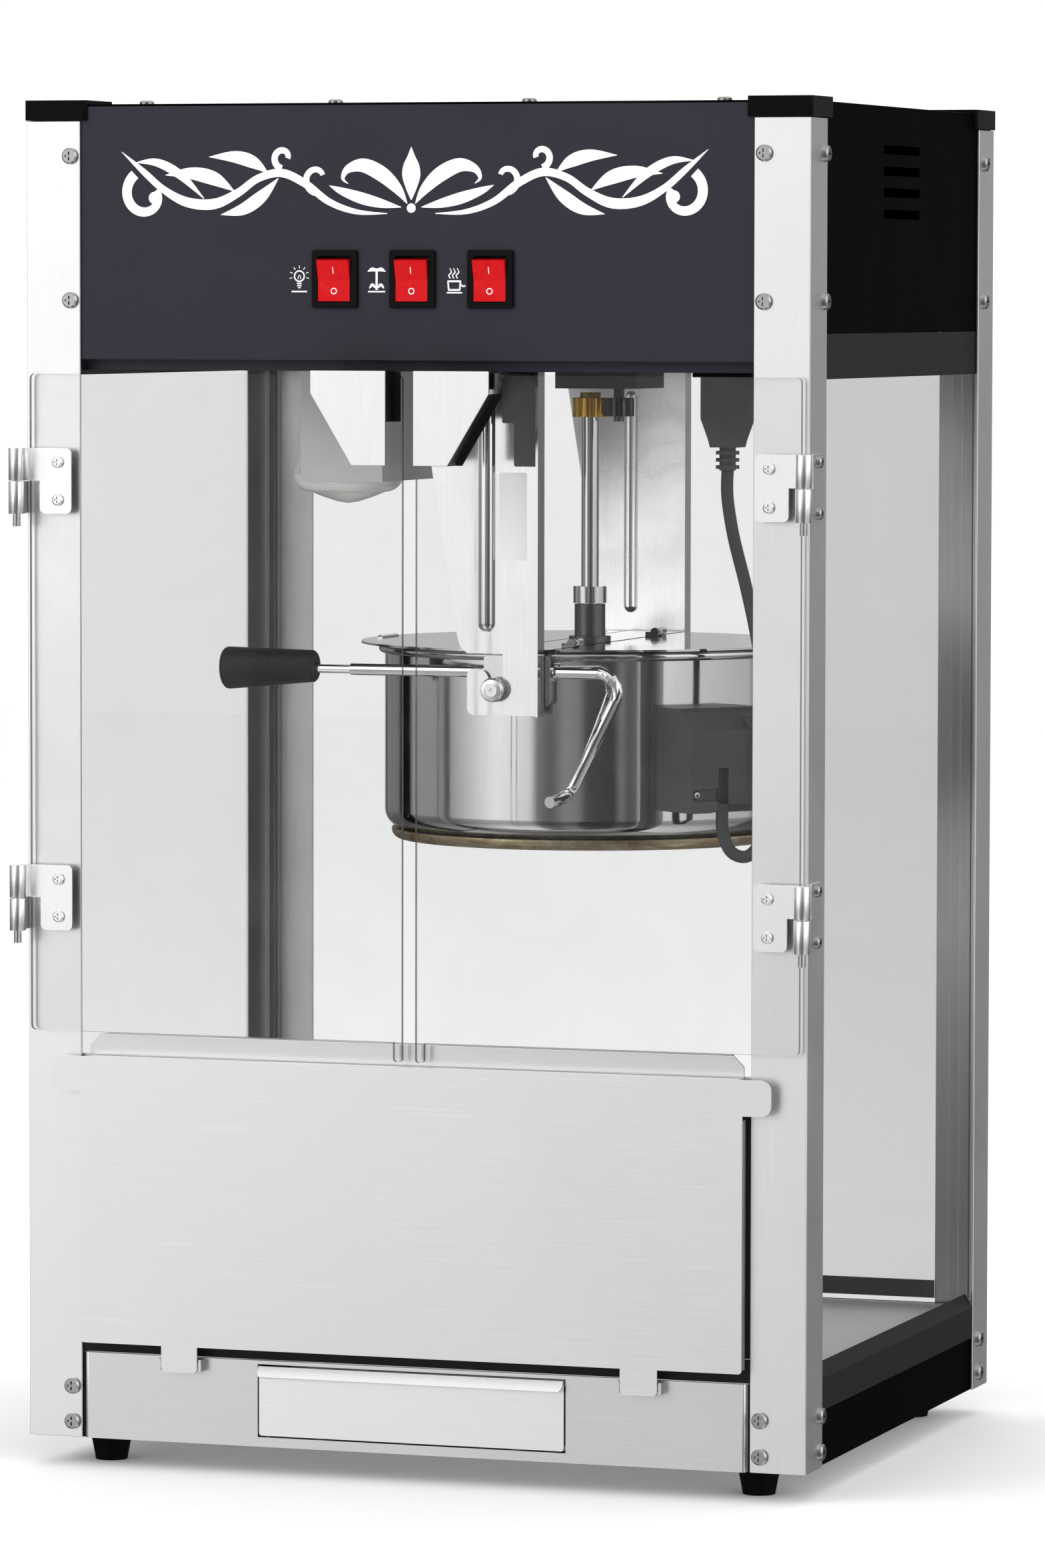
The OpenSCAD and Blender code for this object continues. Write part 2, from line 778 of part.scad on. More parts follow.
module kettle_base() {
    color("#8a7a60") place() translate([kettle_x, kettle_y, 0]) rotate_extrude($fn = 96)
        difference() {
            vessel_section(pot_r - 4, pot_z0, pot_floor, 5);
            translate([-20, 0]) square([20, 400]);
        }
}

// Pivot plates in front and behind, with cheeks back to the pot and the pivot pins
module kettle_lug() {
    face = kettle_y - hanger_off + 1.2;
    difference() {
        union() {
            plate_y(face, face + 1.8)
                round_rect([pivot_x - 8, pivot_z - 9], [pivot_x + 31, pivot_z + 19], 2.5);
            for (x = [pivot_x - 7, pivot_x + 27])
                block([x, face, pivot_z - 7], [x + 2, face + 30, pivot_z + 14]);
        }
        translate([kettle_x, kettle_y, 300]) cylinder(r = pot_r + 0.02, h = 200, $fn = 96);
        translate([kettle_x, kettle_y, rim_z - 6.5]) cylinder(r = pot_r + 4, h = 10, $fn = 96);
        translate([pivot_x - 20, rod_y, rod_z]) rotate([0, 90, 0]) cylinder(r = rod_r + 0.1, h = 60);
    }
    translate([pivot_x, face + 1, pivot_z]) rotate([90, 0, 0]) cylinder(r = 4, h = 12);
}

module kettle_lugs() {
    color("#d0d2d4") place() front_and_rear() kettle_lug();
}

module pivot_knob() {
    front = kettle_y - hanger_off - 1.5;
    translate([pivot_x, front - 0.4, pivot_z]) rotate([90, 0, 0]) difference() {
        union() {
            cylinder(r = 6.6, h = 6.5);
            translate([0, 0, 6.5]) cylinder(r1 = 6.6, r2 = 5.8, h = 0.8);
        }
        translate([0, 0, -1]) cylinder(r = 4, h = 9.5);
    }
}

module pivot_knobs() {
    color("#d9dadc") place() front_and_rear() pivot_knob();
}

bar_half = 16.5;
knuckle_r = 2.4;
lid_pin_r = 1.25;
clip_ys = [-92, 62];

// The strip across the rim that carries the stirrer's sleeve and both lid hinges
module lid_bar() {
    color("#c9cbcd") place() translate([kettle_x, kettle_y, 0]) difference() {
        union() {
            block([-bar_half, -123.4, rim_z], [bar_half, 123.4, rim_z + 1.6]);
            for (s = [-1, 1])
                block([-bar_half, s * 121.8, rim_z - 6], [bar_half, s * 123.4, rim_z + 1.6]);
            both_sides() for (y = clip_ys) {
                block([bar_half - 3, y, rim_z + 1], [lid_axis_x, y + 8, lid_axis_z]);
                translate([lid_axis_x, y, lid_axis_z]) rotate([-90, 0, 0])
                    cylinder(r = knuckle_r, h = 8);
                translate([lid_axis_x, y + 8, lid_axis_z]) rotate([-90, 0, 0])
                    cylinder(r = lid_pin_r, h = 12);
            }
        }
        translate([0, 0, 400]) cylinder(r = stem_r + 0.5, h = 100);
    }
}

module lid_sleeve() {
    color("#5b5c5f") place() translate([kettle_x, kettle_y, rim_z + 1.6]) difference() {
        union() {
            cylinder(r = 8.8, h = 466 - rim_z - 1.6);
            cylinder(r = 12, h = 2.5);
        }
        translate([0, 0, -1]) cylinder(r = stem_r + 0.06, h = 40);
    }
}

// Half lid on two knuckles, drawn to the right of the kettle's axis
module lid_flap(r, chord) {
    difference() {
        union() {
            translate([0, 0, rim_z + 0.3]) linear_extrude(1.2) intersection() {
                circle(r, $fn = 96);
                translate([lid_axis_x, -chord]) square([r, 2 * chord]);
            }
            for (y = clip_ys) {
                translate([lid_axis_x, y + 8.4, lid_axis_z]) rotate([-90, 0, 0])
                    cylinder(r = knuckle_r, h = 8);
                block([lid_axis_x, y + 8.4, rim_z + 0.3], [lid_axis_x + 2, y + 16.4, lid_axis_z]);
            }
            // rolled finger tab at the outer edge
            translate([r - 8, 0, rim_z + 1.5]) rotate([-90, 0, 0])
                translate([0, 0, -14]) cylinder(r = 1.6, h = 28);
        }
        for (y = clip_ys)
            translate([lid_axis_x, y + 7, lid_axis_z]) rotate([-90, 0, 0])
                cylinder(r = lid_pin_r + 0.05, h = 12);
    }
}

module lid_flap_right() {
    color("#d3d5d7") place() translate([kettle_x, kettle_y, 0]) lid_flap(122, 120);
}

module lid_flap_left() {
    color("#d3d5d7") place() translate([kettle_x, kettle_y, 0]) mirror([1, 0, 0]) lid_flap(131, 126);
}

// ---------- tilting handle ----------

rod_bend_x = 86.6;
rod_bend_r = 10.9;
rod_bend_turn = 116.4;
rod_left = [-59.6, -82];

// A corner rounded by a curve that starts and ends at the given reach from the vertex
function rounded_corner(a, v, b, reach, cuts) =
    let (p = v + reach * (a - v) / norm(a - v), q = v + reach * (b - v) / norm(b - v))
    [for (k = [0 : cuts]) let (t = k / cuts) (1 - t) * (1 - t) * p + 2 * t * (1 - t) * v + t * t * q];

module handle_rod() {
    low = 90 - rod_bend_turn;
    start = [rod_left[0], rod_y, rod_z];
    tail = [69.7, rod_y, 364];
    tip = [65.5, rod_y - 22, 361.5];
    arc = [for (a = [90 : -rod_bend_turn / 8 : low - 1])
        [rod_bend_x + rod_bend_r * cos(a), rod_y, rod_z - rod_bend_r + rod_bend_r * sin(a)]];
    route = concat(
        [start, start + [40, 0, 0], start + [90, 0, 0]], arc,
        rounded_corner(arc[8], tail, tip, 7, 5), [tip]);
    color("#d9dadc") place() {
        tube(route, rod_r, 14, [0.5, 0.7, 0.5]);
        translate([rod_left[1], rod_y, rod_z]) rotate([0, 90, 0])
            cylinder(r = 2.4, h = rod_left[0] - rod_left[1] + 8);
        translate([57.8, rod_y, rod_z]) rotate([0, 90, 0]) cylinder(r = 5, h = 4);
    }
}

grip_x_ends = [-135.5, -81];

module handle_grip() {
    long = grip_x_ends[1] - grip_x_ends[0];
    color("#26282a") place() translate([grip_x_ends[1], rod_y, rod_z + 1.4]) rotate([0, -92, 0])
        rotate_extrude()
            polygon(concat(
                [[0, 1], [2.45, 1], [2.45, 0], [8, 0], [9, 1]],
                [[12, long - 2.5]],
                [for (a = [0 : 30 : 90]) [9.5 + 2.5 * cos(a), long - 2.5 + 2.5 * sin(a)]],
                [[0, long]]));
}

// ---------- heater connection ----------

heater_z = [355, 413];
heater_face = 150;
cover_slot = [[-25, 361.5], [-8, 368.5]];
cover_boss = [15, 405];

// In the cover's own frame: +X points out of the pot, over the cover
module cover_shell() {
    difference() {
        translate([100, heater_w / 2, 0]) rotate([90, 0, 0]) linear_extrude(heater_w)
            polygon([
                [0, heater_z[0]], [50, heater_z[0]], [50, heater_z[1] - 12],
                [42, heater_z[1] - 2], [38, heater_z[1]], [0, heater_z[1]]
            ]);
        translate([0, 0, 300]) cylinder(r = pot_r + 0.03, h = 200, $fn = 96);
        // slot for the cover's screw, and the slanted cut below it
        block([heater_face - 3, cover_slot[0].x, cover_slot[0].y],
            [heater_face + 1, cover_slot[1].x, cover_slot[1].y]);
        translate([heater_face - 6, 0, 0]) rotate([90, 0, 90]) linear_extrude(7)
            polygon([[-16, 354], [0, 359.5], [28, 359.5], [28, 354]]);
    }
    translate([heater_face - 12, cover_boss.x, cover_boss.y]) rotate([0, 90, 0])
        cylinder(r = 4.6, h = 13.2);
}

module heater_cover() {
    color("#4b4c4e") place() difference() {
        translate([kettle_x, kettle_y, 0]) rotate([0, 0, heater_turn]) cover_shell();
        translate([151.5, 90.5, 300]) cylinder(r = lead_d / 2 + 0.1, h = 80);
    }
}

// ---------- lead and plug ----------

// One ring of points across the route at point i; side is a direction the route never takes
function ring(route, i, r, sides, side) =
    let (n = len(route) - 1,
        t = route[min(i + 1, n)] - route[max(i - 1, 0)],
        d = t / norm(t),
        u = cross(side, d) / norm(cross(side, d)),
        v = cross(d, u))
    [for (k = [0 : sides - 1]) route[i] + r * (cos(360 * k / sides) * u + sin(360 * k / sides) * v)];

// Points between the route's own points, on a smooth curve through them
function smooth_point(p, i, f) =
    let (n = len(p) - 1, a = p[max(i - 1, 0)], b = p[i], c = p[min(i + 1, n)], d = p[min(i + 2, n)])
    0.5 * (2 * b + (c - a) * f + (2 * a - 5 * b + 4 * c - d) * f * f + (3 * b - a - 3 * c + d) * f * f * f);

function smooth(p, cuts) = concat(
    [for (i = [0 : len(p) - 2], k = [0 : cuts - 1]) smooth_point(p, i, k / cuts)],
    [p[len(p) - 1]]);

module tube(route, r, sides, side = [0, 1, 0]) {
    rings = len(route);
    points = [for (i = [0 : rings - 1]) each ring(route, i, r, sides, side)];
    walls = [for (i = [0 : rings - 2], k = [0 : sides - 1])
        let (a = i * sides + k, b = i * sides + (k + 1) % sides)
        each [[a, b + sides, b], [a, a + sides, b + sides]]];
    first = [for (k = [0 : sides - 1]) k];
    last = [for (k = [sides - 1 : -1 : 0]) (rings - 1) * sides + k];
    polyhedron(points, concat(walls, [first, last]));
}

module kettle_lead() {
    color("#3a3b3d") place() tube(smooth(lead_route, 2), lead_d / 2, 10);
}

module kettle_plug() {
    color("#4b4c4e") place() translate([plug_pos.x, plug_pos.y, 0]) {
        plate_y(-8, 8) polygon([
            [-13.5, 597], [-13.5, 574], [-9, 562], [-8, 558], [8, 558], [9, 562], [13.5, 574], [13.5, 597]
        ]);
        translate([0, 0, 545]) cylinder(r = 4.6, h = 14);
        for (z = [546, 550, 554])
            translate([0, 0, z]) cylinder(r = 6.6, h = 2);
    }
}

module ceiling_socket() {
    color("#1c1c1d") place() {
        block([plug_pos.x - 17, plug_pos.y - 13, 597], [plug_pos.x + 17, plug_pos.y + 13, ceiling_z]);
        block([plug_pos.x - 9.5, plug_pos.y - 5.5, ceiling_z], [plug_pos.x + 9.5, plug_pos.y + 5.5, 620]);
    }
}

// Flanged appliance inlet in the back of the header, with its three blades
module mains_inlet() {
    mid = [146, 652.5];
    color("#161617") place() {
        difference() {
            union() {
                plate_y(rear_y, inlet_y - 2) round_rect(mid - [22, 14], mid + [22, 14], 3);
                plate_y(rear_y - 22, rear_y + 1) round_rect(mid - [15.5, 12], mid + [15.5, 12], 2);
                plate_y(rear_y, inlet_y) round_rect(mid - [15.5, 12], mid + [15.5, 12], 2);
            }
            plate_y(rear_y - 9, inlet_y + 1) round_rect(mid - [12.5, 8.5], mid + [12.5, 8.5], 2);
        }
        for (x = [-7, 0, 7])
            block([mid.x + x - 1, rear_y - 10, mid.y - 2], [mid.x + x + 1, inlet_y - 3, mid.y + 2]);
    }
}

post_front_left();
post_front_right();
post_rear_left();
post_rear_right();
corner_caps();
header_front();
header_shell();
top_cover();
ceiling_plate();
glass_rails();
base_front();
base_skirt();
base_floor();
deck();
glass_left();
glass_right();
glass_rear();
bin_rail();
front_flap();
crumb_drawer();
door_left();
door_right();
door_handle_left();
door_handle_right();
hinge_leaves_left();
hinge_leaves_right();
hinge_brackets();
cabinet_screws();
feet();
switch_bezels();
rocker_lamp();
rocker_stir();
rocker_heat();
lamp_shield();
lamp_socket();
lamp_bulb();
gear_motor();
motor_pinion();
stirrer_shaft();
stirrer_gear();
stirrer_blades();
hanger_front();
hanger_rear();
hanger_stop();
kettle_pot();
kettle_base();
kettle_lugs();
pivot_knobs();
lid_bar();
lid_sleeve();
lid_flap_left();
lid_flap_right();
handle_rod();
handle_grip();
heater_cover();
kettle_lead();
kettle_plug();
ceiling_socket();
mains_inlet();
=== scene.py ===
import json
import math

import bmesh
import bpy
from mathutils import Matrix, Vector


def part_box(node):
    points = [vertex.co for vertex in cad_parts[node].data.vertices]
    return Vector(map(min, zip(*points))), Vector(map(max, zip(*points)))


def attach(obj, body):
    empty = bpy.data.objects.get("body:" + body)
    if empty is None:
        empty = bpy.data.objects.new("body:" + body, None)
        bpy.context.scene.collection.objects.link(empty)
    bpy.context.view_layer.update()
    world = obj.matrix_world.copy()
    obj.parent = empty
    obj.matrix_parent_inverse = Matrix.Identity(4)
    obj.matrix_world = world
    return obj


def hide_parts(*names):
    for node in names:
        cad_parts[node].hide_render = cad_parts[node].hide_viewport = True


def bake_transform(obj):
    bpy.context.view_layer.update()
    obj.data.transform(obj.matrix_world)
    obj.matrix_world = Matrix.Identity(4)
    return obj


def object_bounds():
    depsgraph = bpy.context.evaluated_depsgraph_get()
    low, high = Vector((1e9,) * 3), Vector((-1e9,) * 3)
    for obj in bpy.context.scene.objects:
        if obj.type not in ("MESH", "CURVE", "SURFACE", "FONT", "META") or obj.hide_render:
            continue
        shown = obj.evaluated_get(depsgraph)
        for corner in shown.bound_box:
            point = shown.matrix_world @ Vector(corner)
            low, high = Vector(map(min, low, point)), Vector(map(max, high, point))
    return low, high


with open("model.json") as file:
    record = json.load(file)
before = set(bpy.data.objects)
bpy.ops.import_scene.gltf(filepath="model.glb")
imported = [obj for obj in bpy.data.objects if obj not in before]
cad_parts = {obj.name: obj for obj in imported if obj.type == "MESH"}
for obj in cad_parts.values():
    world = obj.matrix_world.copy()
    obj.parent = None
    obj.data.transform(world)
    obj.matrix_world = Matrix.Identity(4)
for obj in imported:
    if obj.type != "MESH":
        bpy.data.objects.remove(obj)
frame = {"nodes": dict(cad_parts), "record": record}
cad_low, cad_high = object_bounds()
nodes = frame["nodes"]
scene = bpy.context.scene
scene.view_settings.view_transform = "Standard"
MM = 0.001


def low(node):
    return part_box(node)[0]


def high(node):
    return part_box(node)[1]


def middle(node):
    return (low(node) + high(node)) / 2


# ---------- camera ----------

CAMERA_AT = Vector((1.40029, -4.12442, 0.66037))
# In radians: to the left of +Y, downwards, and round the line of sight
CAMERA_YAW, CAMERA_PITCH, CAMERA_ROLL = 0.3266, 0.0646, 0.0017
LENS_MM = 174.36
SENSOR_MM = 36


def make_camera():
    forward = Vector((-math.sin(CAMERA_YAW) * math.cos(CAMERA_PITCH),
                      math.cos(CAMERA_YAW) * math.cos(CAMERA_PITCH), -math.sin(CAMERA_PITCH)))
    flat_right = Vector((math.cos(CAMERA_YAW), math.sin(CAMERA_YAW), 0))
    flat_up = flat_right.cross(forward)
    right = math.cos(CAMERA_ROLL) * flat_right + math.sin(CAMERA_ROLL) * flat_up
    up = right.cross(forward)
    data = bpy.data.cameras.new("camera")
    data.lens = LENS_MM
    data.sensor_width = SENSOR_MM
    data.clip_end = 60
    camera = bpy.data.objects.new("camera", data)
    scene.collection.objects.link(camera)
    camera.matrix_world = Matrix((
        (right.x, up.x, -forward.x, CAMERA_AT.x),
        (right.y, up.y, -forward.y, CAMERA_AT.y),
        (right.z, up.z, -forward.z, CAMERA_AT.z),
        (0, 0, 0, 1)))
    scene.camera = camera


make_camera()

# ---------- material helpers ----------


class Look:
    """A node material: shaders and patterns in object space, in metres."""

    def __init__(self, name):
        self.mat = bpy.data.materials.new(name)
        self.mat.use_nodes = True
        self.tree = self.mat.node_tree
        self.tree.nodes.clear()
        self.out = self.tree.nodes.new("ShaderNodeOutputMaterial")
        self.coords = self.tree.nodes.new("ShaderNodeTexCoord")

    def link(self, source, target):
        if isinstance(source, (int, float)):
            target.default_value = source
        elif isinstance(source, tuple):
            target.default_value = source if len(source) == len(target.default_value) else (*source, 1)
        else:
            self.tree.links.new(source, target)

    def principled(self, colour, rough, metal=0.0, bump=None, bump_mm=0.1, **extra):
        p = self.tree.nodes.new("ShaderNodeBsdfPrincipled")
        self.link(colour, p.inputs["Base Color"])
        self.link(rough, p.inputs["Roughness"])
        p.inputs["Metallic"].default_value = metal
        for key, value in extra.items():
            self.link(value, p.inputs[key.replace("_", " ")])
        if bump is not None:
            b = self.tree.nodes.new("ShaderNodeBump")
            b.inputs["Distance"].default_value = bump_mm * MM
            b.inputs["Strength"].default_value = 1.0
            self.link(bump, b.inputs["Height"])
            self.tree.links.new(b.outputs[0], p.inputs["Normal"])
        return p

    def shader(self, socket):
        self.tree.links.new(socket, self.out.inputs["Surface"])
        return self.mat

    def noise(self, scale, stretch=(1, 1, 1), detail=3.0, rough=0.5, warp=0.0):
        m = self.tree.nodes.new("ShaderNodeMapping")
        m.inputs["Scale"].default_value = stretch
        self.tree.links.new(self.coords.outputs["Object"], m.inputs["Vector"])
        n = self.tree.nodes.new("ShaderNodeTexNoise")
        n.inputs["Scale"].default_value = scale
        n.inputs["Detail"].default_value = detail
        n.inputs["Roughness"].default_value = rough
        n.inputs["Distortion"].default_value = warp
        self.tree.links.new(m.outputs[0], n.inputs["Vector"])
        return n.outputs["Fac"]

    def math(self, op, a, b=0.0, clamp=False):
        n = self.tree.nodes.new("ShaderNodeMath")
        n.operation = op
        n.use_clamp = clamp
        self.link(a, n.inputs[0])
        self.link(b, n.inputs[1])
        return n.outputs[0]

    def remap(self, value, a, b, to_a, to_b):
        n = self.tree.nodes.new("ShaderNodeMapRange")
        self.link(value, n.inputs[0])
        for i, v in enumerate((a, b, to_a, to_b)):
            n.inputs[i + 1].default_value = v
        return n.outputs[0]

    def blend(self, fac, a, b):
        n = self.tree.nodes.new("ShaderNodeMix")
        n.data_type = "RGBA"
        self.link(fac, n.inputs[0])
        self.link(a, n.inputs[6])
        self.link(b, n.inputs[7])
        return n.outputs[2]

    def shades(self, value, colour, spread):
        """The colour, lighter and darker by the given share as value goes from 0.3 to 0.7."""
        dark = tuple(c * (1 - spread) for c in colour)
        light = tuple(min(1.0, c * (1 + spread)) for c in colour)
        return self.blend(self.remap(value, 0.3, 0.7, 0, 1), dark, light)

    def normal_part(self, axis):
        """How far the surface faces along an axis of the object, from 0 to 1."""
        s = self.tree.nodes.new("ShaderNodeSeparateXYZ")
        self.tree.links.new(self.coords.outputs["Normal"], s.inputs[0])
        return self.math("ABSOLUTE", s.outputs[axis])

    def along(self, axis):
        """Position along an axis of the object, in metres."""
        s = self.tree.nodes.new("ShaderNodeSeparateXYZ")
        self.tree.links.new(self.coords.outputs["Object"], s.inputs[0])
        return s.outputs[axis]


def grain(axis, across=1.0, along=0.012):
    """Mapping scale that draws noise out along one axis."""
    return tuple(along if i == axis else across for i in range(3))


def sheet_steel(name, colour, rough, axis, streak, blotch=0.05, bump_mm=0.012, fine=2600,
                seam_shade_from=None):
    """Rolled and brushed sheet: fine lines along one axis, soft clouds, a few long scratches.

    Beyond the given distance, in metres to either side of the middle, its colour is painted near-black:
    painted shade of the seam beside a panel."""
    k = Look(name)
    lines = k.noise(fine, grain(axis), 2.0, 0.6)
    clouds = k.noise(9, (1, 1, 1), 4.0, 0.6, 0.4)
    scratch = k.remap(k.noise(420, grain(axis, 1.0, 0.03), 1.0, 0.4), 0.72, 0.76, 0, 1)
    tone = k.math("ADD", k.math("MULTIPLY", lines, 0.6), k.math("MULTIPLY", clouds, 0.4))
    base = k.blend(k.math("MULTIPLY", scratch, 0.25), k.shades(tone, colour, streak),
                   tuple(min(1, c * 1.15) for c in colour))
    if seam_shade_from:
        # painted shade: near-black past the seam, where the gap beside the raised face lies in shade
        painted_seam_shade = k.remap(k.math("ABSOLUTE", k.along(0)), seam_shade_from, seam_shade_from + 0.0004, 0, 1)
        base = k.blend(painted_seam_shade, base, (0.02, 0.02, 0.02))
    r = k.math("ADD", k.remap(lines, 0.3, 0.7, rough - streak, rough + streak),
               k.remap(clouds, 0.3, 0.7, -blotch, blotch))
    p = k.principled(base, r, 1.0, lines, bump_mm)
    return k.shader(p.outputs[0])


def bright_metal(name, colour, rough, axis, smear, bump_mm=0.004, tint=None):
    """Polished or plated metal with wiping marks and finger smears."""
    k = Look(name)
    lines = k.noise(1800, grain(axis, 1.0, 0.02), 2.0, 0.5)
    smears = k.noise(26, (1, 1, 1), 5.0, 0.62, 0.8)
    r = k.math("ADD", k.remap(smears, 0.35, 0.7, rough - smear * 0.4, rough + smear),
               k.remap(lines, 0.3, 0.7, -0.012, 0.012))
    base = k.shades(lines, colour, 0.03)
    if tint:
        base = k.blend(k.remap(smears, 0.5, 0.75, 0, 0.5), base, tint)
    p = k.principled(base, r, 1.0, lines, bump_mm)
    return k.shader(p.outputs[0])


def paint(name, colour, rough, peel_mm, peel, level, dust=0.1):
    """Baked paint: orange peel, a slightly uneven gloss, and specks of dust."""
    k = Look(name)
    skin = k.noise(peel, (1, 1, 1), 2.0, 0.5)
    clouds = k.noise(7, (1, 1, 1), 4.0, 0.6, 0.5)
    specks = k.remap(k.noise(1500, (1, 1, 1), 0.0, 0.5), 0.77, 0.8, 0, dust)
    speck = tuple(min(1, c * 4 + 0.02) for c in colour)
    base = k.blend(specks, k.shades(clouds, colour, 0.12), speck)
    r = k.remap(clouds, 0.3, 0.7, rough - 0.05, rough + 0.05)
    p = k.principled(base, r, 0.0, skin, peel_mm, Specular_IOR_Level=level)
    return k.shader(p.outputs[0])


def moulded(name, colour, rough, grain_mm=0.02, scale=2400, level=0.4, blotch=0.06):
    """Moulded plastic or rubber: fine spark-erosion grain and a faint flow pattern."""
    k = Look(name)
    fine = k.noise(scale, (1, 1, 1), 1.0, 0.5)
    flow = k.noise(38, (1, 1, 0.4), 3.0, 0.5, 1.2)
    base = k.shades(flow, colour, blotch)
    r = k.math("ADD", k.remap(fine, 0.3, 0.7, rough - 0.06, rough + 0.06),
               k.remap(flow, 0.3, 0.7, -0.03, 0.03))
    p = k.principled(base, r, 0.0, fine, grain_mm, Specular_IOR_Level=level)
    return k.shader(p.outputs[0])


PANE_IOR = 1.18
PANE_HAZE = 0.008


def pane(name, through, edge, axis):
    """A clear sheet: light passes straight through its faces, its cut edges are dense.

    axis is the one its faces look along."""
    k = Look(name)
    wipes = k.noise(14, (1, 1, 1), 5.0, 0.6, 1.5)
    clear = k.tree.nodes.new("ShaderNodeBsdfTransparent")
    k.link(k.shades(wipes, through, 0.006), clear.inputs["Color"])
    gloss = k.principled((0.9, 0.92, 0.92), k.remap(wipes, 0.4, 0.7, 0.015, 0.05), 1.0)
    fresnel = k.tree.nodes.new("ShaderNodeFresnel")
    inside = k.tree.nodes.new("ShaderNodeNewGeometry")
    # light goes straight through, so both faces of the sheet reflect alike
    k.link(k.remap(inside.outputs["Backfacing"], 0, 1, PANE_IOR, 1 / PANE_IOR), fresnel.inputs["IOR"])
    shine = k.math("ADD", fresnel.outputs[0], k.remap(wipes, 0.45, 0.75, 0.0, PANE_HAZE), True)
    face = k.tree.nodes.new("ShaderNodeMixShader")
    k.link(shine, face.inputs[0])
    k.tree.links.new(clear.outputs[0], face.inputs[1])
    k.tree.links.new(gloss.outputs[0], face.inputs[2])
    lines = k.noise(900, (1, 1, 1), 2.0, 0.5)
    rim = k.principled(k.shades(lines, edge, 0.2), 0.12, 0.0, Alpha=0.85, Coat_Weight=0.3)
    both = k.tree.nodes.new("ShaderNodeMixShader")
    k.link(k.remap(k.normal_part(axis), 0.75, 0.55, 0, 1), both.inputs[0])
    k.tree.links.new(face.outputs[0], both.inputs[1])
    k.tree.links.new(rim.outputs[0], both.inputs[2])
    return k.shader(both.outputs[0])


def folded_handle(name, face_y):
    """Satin face; the folded flanges and lips behind it, and its side faces, are coloured near-black:
    painted shade standing in for the dark reflection they show.
    """
    k = Look(name)
    lines = k.noise(2600, grain(2), 2.0, 0.6)
    face = k.principled(k.shades(lines, (0.88, 0.88, 0.88), 0.03), k.remap(lines, 0.3, 0.7, 0.3, 0.42),
                        1.0, lines, 0.008)
    skin = k.noise(800, (1, 1, 1), 2.0, 0.5)
    # painted shade: near-black for the flanges, lips and side faces, in place of their dark reflection
    flange_shade = k.principled(k.shades(skin, (0.006, 0.006, 0.007), 0.2), 0.38, 0.0, skin, 0.01,
                          Specular_IOR_Level=0.3)
    both = k.tree.nodes.new("ShaderNodeMixShader")
    behind = k.remap(k.along(1), face_y + 0.002, face_y + 0.0025, 0, 1)
    k.link(k.math("MAXIMUM", k.remap(k.normal_part(1), 0.8, 0.6, 0, 1), behind), both.inputs[0])
    k.tree.links.new(face.outputs[0], both.inputs[1])
    k.tree.links.new(flange_shade.outputs[0], both.inputs[2])
    return k.shader(both.outputs[0])


def heat_tinted(name):
    """Steel that has been hot: brown and straw patches over grey."""
    k = Look(name)
    burn = k.noise(34, (1, 1, 2.5), 6.0, 0.65, 1.5)
    fine = k.noise(320, (1, 1, 1), 3.0, 0.6)
    base = k.blend(k.remap(burn, 0.4, 0.62, 0, 1), (0.44, 0.38, 0.25), (0.25, 0.18, 0.09))
    base = k.blend(k.remap(fine, 0.55, 0.75, 0, 0.5), base, (0.62, 0.57, 0.43))
    p = k.principled(base, k.remap(burn, 0.3, 0.7, 0.28, 0.5), 0.85, fine, 0.03)
    return k.shader(p.outputs[0])


def reflector_lamp(name, neck_end):
    """Frosted lamp: silvered neck, milky dome."""
    k = Look(name)
    frost = k.noise(1400, (1, 1, 1), 2.0, 0.5)
    clouds = k.noise(40, (1, 1, 1), 3.0, 0.5)
    base = k.blend(k.remap(k.along(2), neck_end - 0.002, neck_end + 0.002, 0, 1),
                   k.shades(clouds, (0.62, 0.62, 0.60), 0.05),
                   k.shades(clouds, (0.94, 0.94, 0.93), 0.03))
    p = k.principled(base, k.remap(frost, 0.3, 0.7, 0.14, 0.24), 0.0, frost, 0.004, Coat_Weight=0.6,
                     Coat_Roughness=0.05)
    return k.shader(p.outputs[0])


def rocker_plastic(name):
    """Red translucent rocker, glossy with fine swirl marks."""
    k = Look(name)
    flow = k.noise(160, (1, 1, 1), 3.0, 0.5, 1.0)
    fine = k.noise(1600, (1, 1, 1), 1.0, 0.5)
    base = k.shades(flow, (0.55, 0.004, 0.007), 0.08)
    p = k.principled(base, k.remap(flow, 0.3, 0.7, 0.2, 0.32), 0.0, fine, 0.006,
                     Coat_Weight=0.06, Coat_Roughness=0.12, Specular_IOR_Level=0.1)
    return k.shader(p.outputs[0])


def printed(name, colour):
    """Screen-printed ink with a slightly uneven film."""
    k = Look(name)
    film = k.noise(900, (1, 1, 1), 3.0, 0.6)
    p = k.principled(k.shades(film, colour, 0.03), k.remap(film, 0.3, 0.7, 0.42, 0.58), 0.0,
                     film, 0.01, Specular_IOR_Level=0.3)
    return k.shader(p.outputs[0])


# Where the lamp's silvered neck ends and its milky dome begins
NECK_END_Z = high("lamp_bulb").z - 0.034
